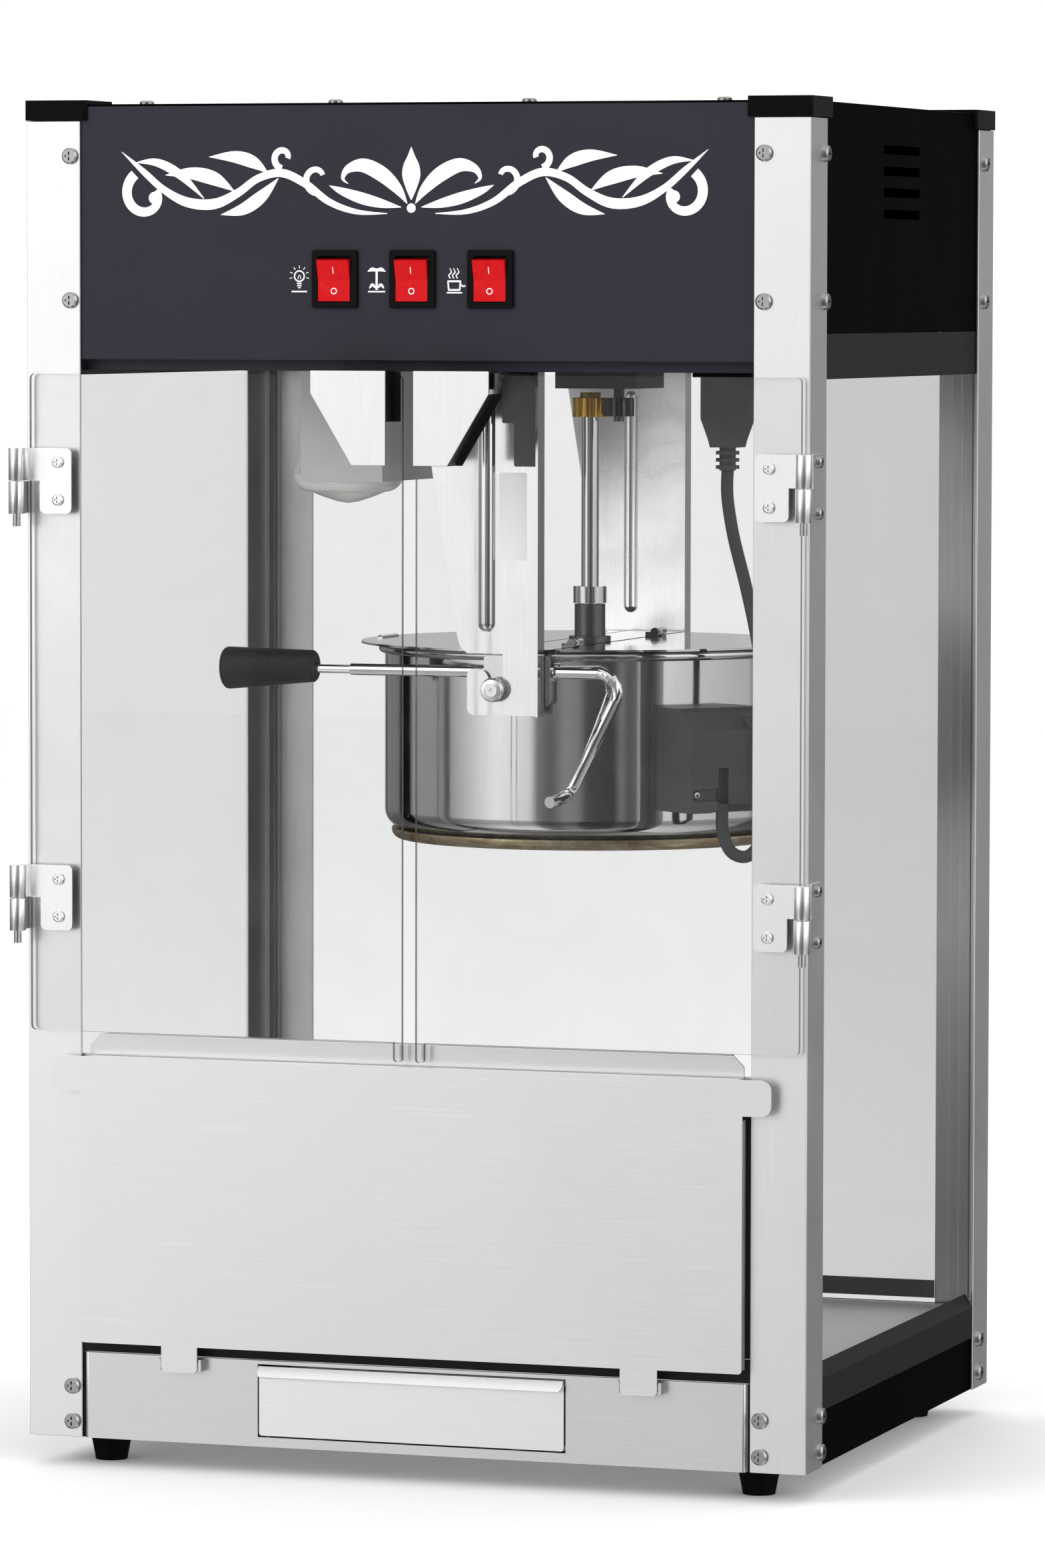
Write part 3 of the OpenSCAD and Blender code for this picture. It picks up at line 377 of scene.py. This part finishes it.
# From the end of the base front to the seam beside its raised face, in metres; from the seam outward
# its colour is painted near-black, as painted shade
SEAM_FROM_END = 0.029
LOOKS = {
    "post_steel": sheet_steel("post_steel", (0.88, 0.88, 0.88), 0.34, 2, 0.04, 0.04),
    "black_plastic": moulded("black_plastic", (0.0025, 0.0025, 0.0027), 0.42, level=0.05),
    "header_paint": paint("header_paint", (0.018, 0.018, 0.028), 0.42, 0.008, 900, 0.24),
    "black_paint": paint("black_paint", (0.002, 0.002, 0.0022), 0.5, 0.012, 700, 0.004, 0.06),
    "grey_paint": paint("grey_paint", (0.011, 0.0115, 0.011), 0.5, 0.012, 700, 0.1),
    "inner_steel": sheet_steel("inner_steel", (0.72, 0.72, 0.72), 0.38, 1, 0.05),
    "ceiling_shade": sheet_steel("ceiling_shade", (0.10, 0.10, 0.10), 0.42, 1, 0.05),
    # painted light: the flap and the drawer get lighter copies of the brushed steel, for how brightly
    # each is lit
    "flap_steel": sheet_steel("flap_steel", (0.86, 0.86, 0.855), 0.36, 0, 0.07, 0.04, 0.02, 2200),
    "drawer_steel": sheet_steel("drawer_steel", (0.97, 0.97, 0.965), 0.34, 0, 0.06, 0.04, 0.02, 2200),
    "brushed": sheet_steel("brushed", (0.76, 0.76, 0.755), 0.36, 0, 0.07, 0.04, 0.02, 2200),
    "glass": pane("glass", (0.91, 0.912, 0.912), (0.05, 0.06, 0.06), 0),
    "rear_glass": pane("rear_glass", (0.91, 0.912, 0.912), (0.05, 0.06, 0.06), 1),
    "acrylic": pane("acrylic", (0.975, 0.975, 0.975), (0.10, 0.105, 0.105), 1),
    "handle_steel": folded_handle("handle_steel", low("door_handle_right").y),
    "hinge_steel": sheet_steel("hinge_steel", (0.90, 0.90, 0.89), 0.3, 2, 0.04, 0.04, 0.008, 3000),
    "screw_steel": bright_metal("screw_steel", (0.38, 0.38, 0.38), 0.2, 2, 0.08),
    "foot_rubber": moulded("foot_rubber", (0.002, 0.002, 0.002), 0.6, 0.03, 1600, 0.06),
    "switch_plastic": moulded("switch_plastic", (0.002, 0.002, 0.0022), 0.26, 0.006, 2000, 0.08),
    "rocker_red": rocker_plastic("rocker_red"),
    "shield_steel": paint("shield_steel", (0.46, 0.46, 0.47), 0.45, 0.01, 800, 0.4),
    "porcelain": moulded("porcelain", (0.72, 0.71, 0.67), 0.25, 0.01, 900, 0.5, 0.03),
    "bulb_glass": reflector_lamp("bulb_glass", NECK_END_Z),
    "dark_grey": moulded("dark_grey", (0.05, 0.051, 0.052), 0.48, 0.015, 1600),
    "gear_steel": bright_metal("gear_steel", (0.20, 0.20, 0.21), 0.36, 2, 0.06),
    "polished": bright_metal("polished", (0.57, 0.57, 0.57), 0.07, 2, 0.05, 0.002),
    "brass": bright_metal("brass", (0.95, 0.66, 0.16), 0.26, 2, 0.08, 0.006, (0.72, 0.44, 0.09)),
    "hanger_steel": bright_metal("hanger_steel", (0.75, 0.75, 0.75), 0.10, 2, 0.06, 0.003),
    # painted light: a lighter, rougher copy of the hanger steel, so the rear hanger shows white instead
    # of its dark reflections
    "rear_hanger": bright_metal("rear_hanger", (0.97, 0.97, 0.97), 0.25, 2, 0.05, 0.004),
    # base front: brushed steel with painted shade, near-black, beyond the seam at each end
    "base_steel": sheet_steel("base_steel", (0.76, 0.76, 0.755), 0.36, 0, 0.07, 0.04, 0.02, 2200,
                              high("base_front").x - SEAM_FROM_END),
    "heat_base": heat_tinted("heat_base"),
    "lug_steel": sheet_steel("lug_steel", (0.72, 0.72, 0.72), 0.2, 2, 0.03, 0.04, 0.006),
    "knob_metal": bright_metal("knob_metal", (0.82, 0.82, 0.82), 0.18, 2, 0.05, 0.006),
    "sleeve_grey": bright_metal("sleeve_grey", (0.13, 0.13, 0.135), 0.38, 2, 0.07, 0.02),
    "chrome": bright_metal("chrome", (0.82, 0.82, 0.82), 0.06, 0, 0.03, 0.002),
    "grip_black": moulded("grip_black", (0.007, 0.0075, 0.008), 0.46, 0.02, 1500, 0.25),
    "lead_rubber": moulded("lead_rubber", (0.045, 0.046, 0.048), 0.5, 0.02, 1500, 0.3),
    "plug_grey": moulded("plug_grey", (0.052, 0.053, 0.055), 0.48, 0.02, 1500),
}
INK_WHITE = printed("ink_white", (0.86, 0.86, 0.86))
INK_PALE = printed("ink_pale", (0.84, 0.84, 0.84))
# Nodes whose look isn't the one of their material slot; the flap's, drawer's and rear hanger's are
# lighter copies (painted light), the ceiling plate's a darker one (painted shade), and the base front's
# carries painted seam shade
NODE_LOOKS = {"glass_rear": "rear_glass", "ceiling_plate": "ceiling_shade", "front_flap": "flap_steel",
              "crumb_drawer": "drawer_steel", "hanger_rear": "rear_hanger",
              "base_front": "base_steel"}

# ---------- looks of the CAD nodes ----------

BEVELS_MM = {
    "post_front_left": 0.5, "post_front_right": 0.5, "post_rear_left": 0.5, "post_rear_right": 0.5,
    "corner_caps": 0.8, "header_front": 0.3, "header_shell": 0.3, "top_cover": 0.35,
    "glass_rails": 0.3, "base_front": 0.35, "base_skirt": 0.3, "bin_rail": 0.35, "front_flap": 0.4,
    "crumb_drawer": 0.35, "door_handle_left": 0.35, "door_handle_right": 0.35, "door_left": 0.4,
    "door_right": 0.4, "glass_left": 0.4, "glass_right": 0.4, "glass_rear": 0.4,
    "hinge_leaves_left": 0.25, "hinge_leaves_right": 0.25, "hinge_brackets": 0.25,
    "switch_bezels": 0.35, "rocker_lamp": 0.6, "rocker_stir": 0.6, "rocker_heat": 0.6,
    "hanger_front": 0.3, "hanger_rear": 0.3, "hanger_stop": 0.8, "lamp_shield": 0.25,
    "gear_motor": 1.0, "kettle_lugs": 0.4, "lid_bar": 0.3, "heater_cover": 1.2, "kettle_plug": 1.2,
    "ceiling_socket": 0.8, "stirrer_gear": 0.2, "motor_pinion": 0.2, "stirrer_blades": 0.4,
    "deck": 0.2, "mains_inlet": 0.4,
}
SHARP_ANGLE = math.radians(32)


def round_edges(node, width_mm):
    """Welds a CAD node's faces and rounds its sharp edges, with modifiers only."""
    obj = nodes[node]
    weld = obj.modifiers.new("weld", "WELD")
    weld.merge_threshold = 1e-6
    bevel = obj.modifiers.new("bevel", "BEVEL")
    bevel.width = width_mm * MM
    bevel.segments = 2
    bevel.limit_method = "ANGLE"
    bevel.angle_limit = SHARP_ANGLE
    bevel.harden_normals = True
    bevel.use_clamp_overlap = True


for part in frame["record"]["subparts"]:
    node, slot = part["node"], part["material_slot"]
    nodes[node].data.materials.clear()
    nodes[node].data.materials.append(LOOKS[NODE_LOOKS.get(node, slot)])
    if node in BEVELS_MM:
        round_edges(node, BEVELS_MM[node])

# ---------- piece helpers ----------


def smooth_path(points, cuts):
    """Points on a Catmull-Rom curve through the given ones, of any dimension."""
    last = len(points) - 1
    made = []
    for i in range(last):
        a, b = points[max(i - 1, 0)], points[i]
        c, d = points[i + 1], points[min(i + 2, last)]
        for step in range(cuts):
            f = step / cuts
            made.append(tuple(
                0.5 * (2 * q + (r - p) * f + (2 * p - 5 * q + 4 * r - s) * f * f
                       + (3 * q - p - 3 * r + s) * f ** 3)
                for p, q, r, s in zip(a, b, c, d)))
    made.append(tuple(points[last]))
    return made


def piece(name, verts, faces, body, look, smooth=False):
    mesh = bpy.data.meshes.new(name)
    mesh.from_pydata([tuple(v) for v in verts], [], faces)
    mesh.validate()
    outward = bmesh.new()
    outward.from_mesh(mesh)
    bmesh.ops.recalc_face_normals(outward, faces=outward.faces)
    outward.to_mesh(mesh)
    outward.free()
    mesh.update()
    if smooth:
        mesh.shade_smooth()
    mesh.materials.append(look)
    obj = bpy.data.objects.new(name, mesh)
    scene.collection.objects.link(obj)
    if body:
        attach(obj, body)
    return obj


def tube_mesh(path, radius_at, sides):
    """Closed tube round a path, its rings turned as little as possible from one to the next."""
    verts, faces = [], []
    side = None
    for i, p in enumerate(path):
        ahead = path[min(i + 1, len(path) - 1)] - path[max(i - 1, 0)]
        d = ahead.normalized()
        side = d.orthogonal() if side is None else (side - d * side.dot(d))
        side.normalize()
        other = d.cross(side)
        for k in range(sides):
            a = math.tau * k / sides
            verts.append(p + radius_at(i) * (math.cos(a) * side + math.sin(a) * other))
    for i in range(len(path) - 1):
        for k in range(sides):
            a, b = i * sides + k, i * sides + (k + 1) % sides
            faces.append((a, b, b + sides, a + sides))
    faces.append(tuple(reversed(range(sides))))
    faces.append(tuple((len(path) - 1) * sides + k for k in range(sides)))
    return verts, faces


def lathe(name, profile, at, axis, body, look, sides, ridge_from=0.0, ridge_mm=0.0):
    """A turned piece: profile is (radius, height) pairs in mm, drawn round axis from at.

    Points of the profile further out than ridge_from carry ridges, ridge_mm high."""
    axis = Vector(axis).normalized()
    side = axis.orthogonal().normalized()
    other = axis.cross(side)
    verts, faces = [], []
    count = len(profile)
    for k in range(sides):
        a = math.tau * k / sides
        lift = ridge_mm * (k % 2)
        out = math.cos(a) * side + math.sin(a) * other
        for r, h in profile:
            verts.append(at + ((r + (lift if r > ridge_from else 0.0)) * out + h * axis) * MM)
    for k in range(sides):
        for i in range(count):
            a, b = k * count + i, k * count + (i + 1) % count
            c, d = ((k + 1) % sides) * count + (i + 1) % count, ((k + 1) % sides) * count + i
            faces.append((a, b, c, d))
    return piece(name, verts, faces, body, look)


def strip(points, thick, verts, faces, closed):
    """Adds a flat solid stroke to verts and faces: points are (u, v, half width), in mm."""
    n = len(points)
    first = len(verts)
    for i, (u, v, w) in enumerate(points):
        a = points[(i - 1) % n] if closed else points[max(i - 1, 0)]
        b = points[(i + 1) % n] if closed else points[min(i + 1, n - 1)]
        d = Vector((b[0] - a[0], b[1] - a[1])).normalized()
        across = Vector((-d.y, d.x)) * max(w, 0.04)
        for s in (-1, 1):
            for t in (0, thick):
                verts.append(Vector((u + s * across.x, v + s * across.y, t)))
    for i in range(n if closed else n - 1):
        a = first + 4 * i
        b = first + 4 * ((i + 1) % n)
        faces += [(a + 1, b + 1, b + 3, a + 3), (a, a + 2, b + 2, b), (a, b, b + 1, a + 1),
                  (a + 2, a + 3, b + 3, b + 2)]
    if not closed:
        e = first + 4 * (n - 1)
        faces += [(first, first + 1, first + 3, first + 2), (e, e + 2, e + 3, e + 1)]


def face_axes(normal):
    """The face's right, its up, and its normal, as seen along -normal."""
    normal = Vector(normal).normalized()
    right = Vector((0, 0, 1)).cross(normal).normalized()
    return right, normal.cross(right), normal


def decal(name, strokes, at, normal, body, look, thick, size=1.0):
    """Flat printed strokes on a face, in mm: u runs to the right and v up."""
    right, up, normal = face_axes(normal)
    verts, faces = [], []
    for i, (points, closed) in enumerate(strokes):
        points = [(u * size, v * size, w * size) for u, v, w in points]
        # strokes that cross differ in height, so that no two faces lie in one plane
        strip(points, thick * (1 + 0.15 * (i % 4)), verts, faces, closed)
    placed = [at + (v.x * right + v.y * up + v.z * normal) * MM for v in verts]
    return piece(name, placed, faces, body, look)


def on_surface(node, x, z):
    """Where a ray from the front meets a CAD node, and the face's normal there."""
    start = Vector((x, cad_low.y - 0.1, z))
    hit, at, normal, _ = nodes[node].ray_cast(start, Vector((0, 1, 0)))
    if not hit:
        raise RuntimeError(f"nothing of {node} at {x:.4f}, {z:.4f}")
    return at, normal


def ring(u, v, r, w, count=28):
    return [(u + r * math.cos(math.tau * k / count), v + r * math.sin(math.tau * k / count), w)
            for k in range(count)], True


def line(*points, cuts=6):
    return smooth_path(list(points), cuts) if len(points) > 2 else list(points), False


# ---------- kettle lead: first, because its room is tested ----------

plug = middle("kettle_plug")
LEAD_D = 0.007
# From the plug down to the heater's cover, in mm from the plug's axis and the posts' foot
LEAD_ROUTE = [
    (0, 0, 545), (0, 0, 530), (4, -1, 508), (12, -3, 480), (19, -4, 450), (24, -5, 420),
    (27, -7, 390), (28, -10, 362), (25, -14, 341), (18, -17, 331), (9, -19, 333),
    (4, -19.5, 344), (3.5, -19.5, 356), (3.5, -19.5, 360),
]
posts_foot = low("post_front_left").z
route = [Vector((plug.x + x * MM, plug.y + y * MM, posts_foot + z * MM)) for x, y, z in LEAD_ROUTE]
lead_path = [Vector(p) for p in smooth_path([tuple(p) for p in route], 8)]
lead_verts, lead_faces = tube_mesh(lead_path, lambda i: LEAD_D / 2, 20)
lead = piece("lead_tube", lead_verts, lead_faces, None, LOOKS["lead_rubber"], True)
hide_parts("kettle_lead")
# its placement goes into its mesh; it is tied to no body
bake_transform(lead)

# ---------- header: scroll, icons, switch marks ----------


SPIRAL_STEPS = 26


def spiral(cu, cv, r0, r1, a0, a1, w0, w1):
    """A curl round a centre, as stroke points: radius, angle and half width go from 0 to 1."""
    made = []
    for k in range(SPIRAL_STEPS + 1):
        t = k / SPIRAL_STEPS
        a, r = math.radians(a0 + (a1 - a0) * t), r0 + (r1 - r0) * t
        made.append((cu + r * math.cos(a), cv + r * math.sin(a), w0 + (w1 - w0) * t ** 1.5))
    return made, False


def scroll_half():
    """Right half of a plain leaf scroll, in mm from its middle."""
    return [
        line((2.4, -11, 0.2), (8, -3, 2.8), (17, 5, 4.2), (28, 10, 3.8), (37, 8, 2.2), (40, 3, 1.0),
             (37, 0, 0.2)),
        line((6, -13, 0.2), (17, -11, 2.4), (29, -8, 3.2), (41, -4, 2.0), (48, -1, 0.1)),
        line((14, -16.5, 0.2), (32, -15.5, 1.4), (48, -10, 1.9), (62, 0, 2.2), (76, 6, 2.3),
             (90, 3, 2.1), (102, -5, 2.3), (116, -11, 2.9), (132, -10, 2.7), (146, -3, 2.0),
             (158, 7, 1.7), (171, 18, 0.1)),
        spiral(55, 3, 8.0, 3.6, -80, 150, 1.9, 1.4),
        spiral(75, 14.5, 6.2, 2.6, -80, 190, 1.9, 1.5),
        line((84, 6, 0.2), (93, 12, 3.4), (104, 15, 3.2), (119, 15, 0.1)),
        line((78, 3, 0.2), (88, -7, 3.4), (99, -14, 3.2), (112, -17, 0.1)),
        line((104, -4, 0.2), (116, 3, 3.8), (130, 6, 3.2), (145, 5, 0.1)),
        line((122, -8, 0.2), (136, 5, 2.4), (150, 12, 2.2), (163, 12, 0.1)),
        spiral(156, -6, 13.5, 6.0, 58, -205, 2.9, 2.0),
        ring(151.5, -7.6, 1.7, 1.7, 20),
    ]


def mirrored(strokes):
    return [([(-u, v, w) for u, v, w in reversed(points)], closed) for points, closed in strokes]


def scroll():
    half = scroll_half()
    heart = [line((0, -9, 0.2), (0, -3, 3.0), (0, 4, 5.2), (0, 10, 4.6), (0, 15, 2.2), (0, 20, 0.1)),
             ring(0, -13.5, 1.3, 1.3, 20)]
    return heart + half + mirrored(half)


front_y = low("header_front").y
header_height = high("header_front").z - low("header_front").z
SCROLL_SHARE = 0.7046  # of the header's height, from its lower edge
scroll_at = Vector((-0.001, front_y, low("header_front").z + SCROLL_SHARE * header_height))
decal("header_scroll", scroll(), scroll_at, (0, -1, 0), "cabinet", INK_WHITE, thick=0.12)


def lamp_icon():
    rays = [line((3.4 * math.cos(a), 1.6 + 3.4 * math.sin(a), 0.16),
                 (4.7 * math.cos(a), 1.6 + 4.7 * math.sin(a), 0.16))
            for a in (math.radians(-12 + 34 * i) for i in range(7))]
    return [ring(0, 1.6, 2.3, 0.3), line((-1.1, -1.6, 0.28), (1.1, -1.6, 0.28)),
            line((-1.0, -2.6, 0.28), (1.0, -2.6, 0.28)), line((-0.6, -3.5, 0.25), (0.6, -3.5, 0.25)),
            line((-0.7, 0.2, 0.14), (-0.3, 1.8, 0.14), (0.3, 1.8, 0.14), (0.7, 0.2, 0.14)),
            line((-3.6, -5.2, 0.32), (3.6, -5.2, 0.32))] + rays


def stirrer_icon():
    return [line((0, -4.4, 0.5), (0, 5, 0.5)),
            line((0, 3.9, 0.3), (-2, 4.6, 0.9), (-4.2, 3.6, 0.1)),
            line((0, 3.9, 0.3), (2, 4.6, 0.9), (4.2, 3.6, 0.1)),
            line((-0.4, -3.6, 0.3), (-2, -2.2, 0.7), (-3.4, -3.8, 0.2)),
            line((0.4, -3.6, 0.3), (2, -2.2, 0.7), (3.4, -3.8, 0.2)),
            line((-4, -5.2, 0.32), (4, -5.2, 0.32))]


def pot_icon():
    steam = [line((x, 0.6, 0.22), (x - 0.7, 2, 0.26), (x + 0.5, 3.4, 0.26), (x - 0.3, 5.2, 0.12))
             for x in (-1.9, -0.2, 1.5)]
    return [line((-3.2, -0.6, 0.4), (3.0, -0.6, 0.4)), line((-3.0, -0.6, 0.35), (-2.7, -4.2, 0.35)),
            line((2.8, -0.6, 0.35), (2.5, -4.2, 0.35)), line((-2.9, -4.4, 0.4), (2.7, -4.4, 0.4)),
            line((2.7, -1.8, 0.3), (4.1, -2.8, 0.35), (5.2, -2.4, 0.3)),
            line((-3.6, -5.6, 0.3), (3.6, -5.6, 0.3))] + steam


SWITCHES = {"lamp": lamp_icon, "stir": stirrer_icon, "heat": pot_icon}
# An icon's place beside its rocker, and the marks' places on the rocker, in metres
ICON_OFFSET = -0.0212
ICON_SIZE = 1.25
MARK_ON_UP = 0.0052
MARK_OFF_DOWN = 0.0062
for name, icon in SWITCHES.items():
    node = "rocker_" + name
    centre = middle(node)
    decal(f"icon_{name}", icon(), Vector((centre.x + ICON_OFFSET, front_y, centre.z)), (0, -1, 0),
          "cabinet", INK_WHITE, thick=0.1, size=ICON_SIZE)
    at, normal = on_surface(node, centre.x, centre.z + MARK_ON_UP)
    decal(f"mark_on_{name}", [line((0, -1.9, 0.22), (0, 1.9, 0.22))], at, normal, node + "_body",
          INK_WHITE, thick=0.05)
    at, normal = on_surface(node, centre.x, centre.z - MARK_OFF_DOWN)
    decal(f"mark_off_{name}", [ring(0, 0, 1.55, 0.26)], at, normal, node + "_body", INK_WHITE,
          thick=0.05)

# ---------- hanger, kettle and handle details ----------


def rounded_panel(name, size, corner, at, normal, body, look, thick):
    """A thin plate with round corners, such as a blank sticker."""
    half_u, half_v = size[0] / 2 - corner, size[1] / 2 - corner
    outline = []
    for quarter, (su, sv) in enumerate(((1, 1), (-1, 1), (-1, -1), (1, -1))):
        for k in range(7):
            a = math.radians(90 * quarter + 15 * k)
            outline.append((su * half_u + corner * math.cos(a), sv * half_v + corner * math.sin(a)))
    right, up, normal = face_axes(normal)
    n = len(outline)
    verts = [at + (u * right + v * up + t * normal) * MM for t in (0, thick) for u, v in outline]
    faces = [tuple(reversed(range(n))), tuple(n + k for k in range(n))]
    faces += [(k, (k + 1) % n, n + (k + 1) % n, n + k) for k in range(n)]
    return piece(name, verts, faces, body, look)


HANGER_SHEET = 0.0015
# on the front of the hanger's sheet
sticker_at = Vector((0.039, high("hanger_front").y - HANGER_SHEET, posts_foot + 0.5195))
rounded_panel("hanger_sticker", (16, 49), 1.2, sticker_at,
              (0, -1, 0), "cabinet", INK_PALE, thick=0.1)

pivot = middle("pivot_knobs")
KNOB_EDGE = 6.5  # mm; the rim is knurled further out than this
for label, sign in (("front", -1), ("rear", 1)):
    face_y = low("pivot_knobs").y if sign < 0 else high("pivot_knobs").y
    at = Vector((pivot.x, face_y, pivot.z))
    # knurled rim, and the turned face with its centre mark
    lathe(f"knob_rim_{label}", [(6.45, -6.3), (6.75, -6.0), (6.75, -1.5), (6.45, -1.2)],
          at, (0, sign, 0), "kettle", LOOKS["knob_metal"], 96, KNOB_EDGE, 0.16)
    lathe(f"knob_face_{label}", [(0.35, 0.5), (0.35, 0.95), (0.7, 1.1), (1.2, 1.1), (1.4, 0.9),
                                 (3.4, 0.9), (3.6, 1.0), (5.8, 0.8), (6.2, 0.5), (6.2, -0.2),
                                 (4.3, -0.2), (4.3, 0.5)],
          at, (0, sign, 0), "kettle", LOOKS["knob_metal"], 64)

# pan-head screw in the slot of the heater's cover
COVER_TURN = math.radians(-40)
cover_out = Vector((math.cos(COVER_TURN), math.sin(COVER_TURN), 0))
cover_side = Vector((-cover_out.y, cover_out.x, 0))
pot_axis = middle("kettle_pot")
# The screw's height over the posts' foot, its distance from the pot's axis, and how far to one side
SCREW_UP, SCREW_OUT, SCREW_ASIDE = 0.365, 0.147, -0.0215
screw_at = Vector((pot_axis.x, pot_axis.y, posts_foot + SCREW_UP))
screw_at += SCREW_OUT * cover_out + SCREW_ASIDE * cover_side
lathe("cover_screw", [(0.35, -0.3), (0.35, 0.9), (0.8, 1.5), (1.8, 1.35), (2.4, 0.8), (2.5, 0.1),
                      (2.5, -0.3)],
      screw_at, cover_out, "kettle", LOOKS["screw_steel"], 40)

# ---------- lights, floor and surroundings ----------


LIGHT_AIM = Vector((0, 0, 0.4))


def area_light(name, at, side, power):
    data = bpy.data.lights.new(name, "AREA")
    data.shape = "RECTANGLE"
    data.size = data.size_y = side
    data.energy = power
    lamp = bpy.data.objects.new(name, data)
    scene.collection.objects.link(lamp)
    lamp.location = at
    lamp.rotation_mode = "QUATERNION"
    lamp.rotation_quaternion = (LIGHT_AIM - Vector(at)).to_track_quat("-Z", "Y")
    # what reflects sees the studio's own soft boxes instead
    lamp.visible_glossy = False


area_light("key", (-2.2, -2.8, 2.2), 2.0, 34)
area_light("fill", (2.8, -2.2, 1.5), 1.8, 13)
area_light("top", (0.2, 0.4, 2.8), 2.4, 11)


# The ramp of levels holds half of each level, so that none is above 1
LEVEL_SCALE = 2.0
# The upward parts of a direction between which the bands fade to one grey
OVERHEAD = (0.45, 0.8)
OVERHEAD_GREY = 0.8
BACKDROP = 1.03


def set_ramp(node, stops):
    points = node.color_ramp.elements
    while len(points) > 1:
        points.remove(points[-1])
    for i, (position, value) in enumerate(stops):
        e = points[0] if i == 0 else points.new(position)
        e.position = position
        e.color = (value, value, value, 1)


def studio_world():
    """White backdrop; what reflects sees soft boxes with dark flags between them."""
    world = bpy.data.worlds.new("studio")
    scene.world = world
    world.cycles.sampling_method = "NONE"
    world.use_nodes = True
    tree = world.node_tree
    tree.nodes.clear()

    def node(kind):
        return tree.nodes.new(kind)

    def wire(a, b):
        tree.links.new(a, b)

    def mapped(source, *limits):
        made = node("ShaderNodeMapRange")
        wire(source, made.inputs[0])
        for i, limit in enumerate(limits):
            made.inputs[i + 1].default_value = limit
        return made.outputs[0]

    coords = node("ShaderNodeTexCoord")
    split = node("ShaderNodeSeparateXYZ")
    wire(coords.outputs["Generated"], split.inputs[0])
    # angle round the object, measured from straight in front of the camera
    facing = math.atan2(CAMERA_AT.y, CAMERA_AT.x)
    turn = node("ShaderNodeMapping")
    turn.inputs["Rotation"].default_value = (0, 0, -facing)
    wire(coords.outputs["Generated"], turn.inputs[0])
    turned = node("ShaderNodeSeparateXYZ")
    wire(turn.outputs[0], turned.inputs[0])
    angle = node("ShaderNodeMath")
    angle.operation = "ARCTAN2"
    wire(turned.outputs[1], angle.inputs[0])
    wire(turned.outputs[0], angle.inputs[1])
    ramp = node("ShaderNodeValToRGB")
    wire(mapped(angle.outputs[0], -math.pi, math.pi, 0, 1), ramp.inputs[0])
    # degrees from the camera's direction (left is negative) and brightness
    bands = [(-180, 0.55), (-168, 0.55), (-164, 0.32), (-137, 0.30), (-134, 0.01), (-122, 0.01),
             (-119, 0.55), (-97, 0.55), (-94, 0.2), (-87, 0.18), (-84, 0.65), (-76, 0.9), (-55, 1.6),
             (-46, 1.5), (-34, 1.25), (-30, 0.32), (-22, 0.17), (-14, 0.4), (-7, 0.34), (-2, 0.1),
             (13, 0.06), (17, 0.3), (21, 0.14), (26, 0.2), (29, 1.5), (60, 1.2), (100, 0.9),
             (106, 0.22), (148, 0.2), (154, 0.7), (167, 0.7), (180, 0.55)]
    set_ramp(ramp, [((degrees + 180) / 360, value) for degrees, value in bands])
    # darkest a little below the horizon, brightest above it
    level = node("ShaderNodeValToRGB")
    wire(mapped(split.outputs[2], -1, 1, 0, 1), level.inputs[0])
    # the upward part of a direction and half its level
    levels = [(-1.0, 0.45), (-0.7, 0.38), (-0.4, 0.16), (-0.24, 0.2), (-0.14, 0.31), (-0.06, 0.45),
              (0.02, 0.52), (0.08, 0.62), (0.25, 0.75), (0.6, 0.7), (1.0, 0.6)]
    set_ramp(level, [((z + 1) / 2, v) for z, v in levels])
    fade = node("ShaderNodeMix")
    fade.data_type = "RGBA"
    wire(mapped(split.outputs[2], *OVERHEAD, 0, 1), fade.inputs[0])
    wire(ramp.outputs[0], fade.inputs[6])
    fade.inputs[7].default_value = (OVERHEAD_GREY, OVERHEAD_GREY, OVERHEAD_GREY, 1)
    scaled = node("ShaderNodeMix")
    scaled.data_type = "RGBA"
    scaled.blend_type = "MULTIPLY"
    scaled.inputs[0].default_value = 1.0
    wire(fade.outputs[2], scaled.inputs[6])
    wire(level.outputs[0], scaled.inputs[7])
    studio = node("ShaderNodeBackground")
    wire(scaled.outputs[2], studio.inputs[0])
    studio.inputs[1].default_value = LEVEL_SCALE
    plain = node("ShaderNodeBackground")
    plain.inputs[0].default_value = (BACKDROP, BACKDROP, BACKDROP, 1)
    path = node("ShaderNodeLightPath")
    pick = node("ShaderNodeMixShader")
    wire(path.outputs["Is Glossy Ray"], pick.inputs[0])
    wire(plain.outputs[0], pick.inputs[1])
    wire(studio.outputs[0], pick.inputs[2])
    out = node("ShaderNodeOutputWorld")
    wire(pick.outputs[0], out.inputs[0])


studio_world()

floor_look = Look("floor")
floor_grain = floor_look.noise(30, (1, 1, 1), 3.0, 0.5)
floor_colour = floor_look.shades(floor_grain, (0.98, 0.98, 0.98), 0.004)
floor_shader = floor_look.principled(floor_colour, 0.7, 0.0, Specular_IOR_Level=0.1)
floor_look.shader(floor_shader.outputs[0])
floor_mesh = bpy.data.meshes.new("floor")
REACH = 7.0
floor_mesh.from_pydata([(-REACH, -REACH, 0), (REACH, -REACH, 0), (REACH, REACH, 0), (-REACH, REACH, 0)],
                       [], [(0, 1, 2, 3)])
floor_mesh.materials.append(floor_look.mat)
floor = bpy.data.objects.new("floor", floor_mesh)
scene.collection.objects.link(floor)
# what reflects sees the studio's darker lower part instead of the white floor
floor.visible_glossy = False
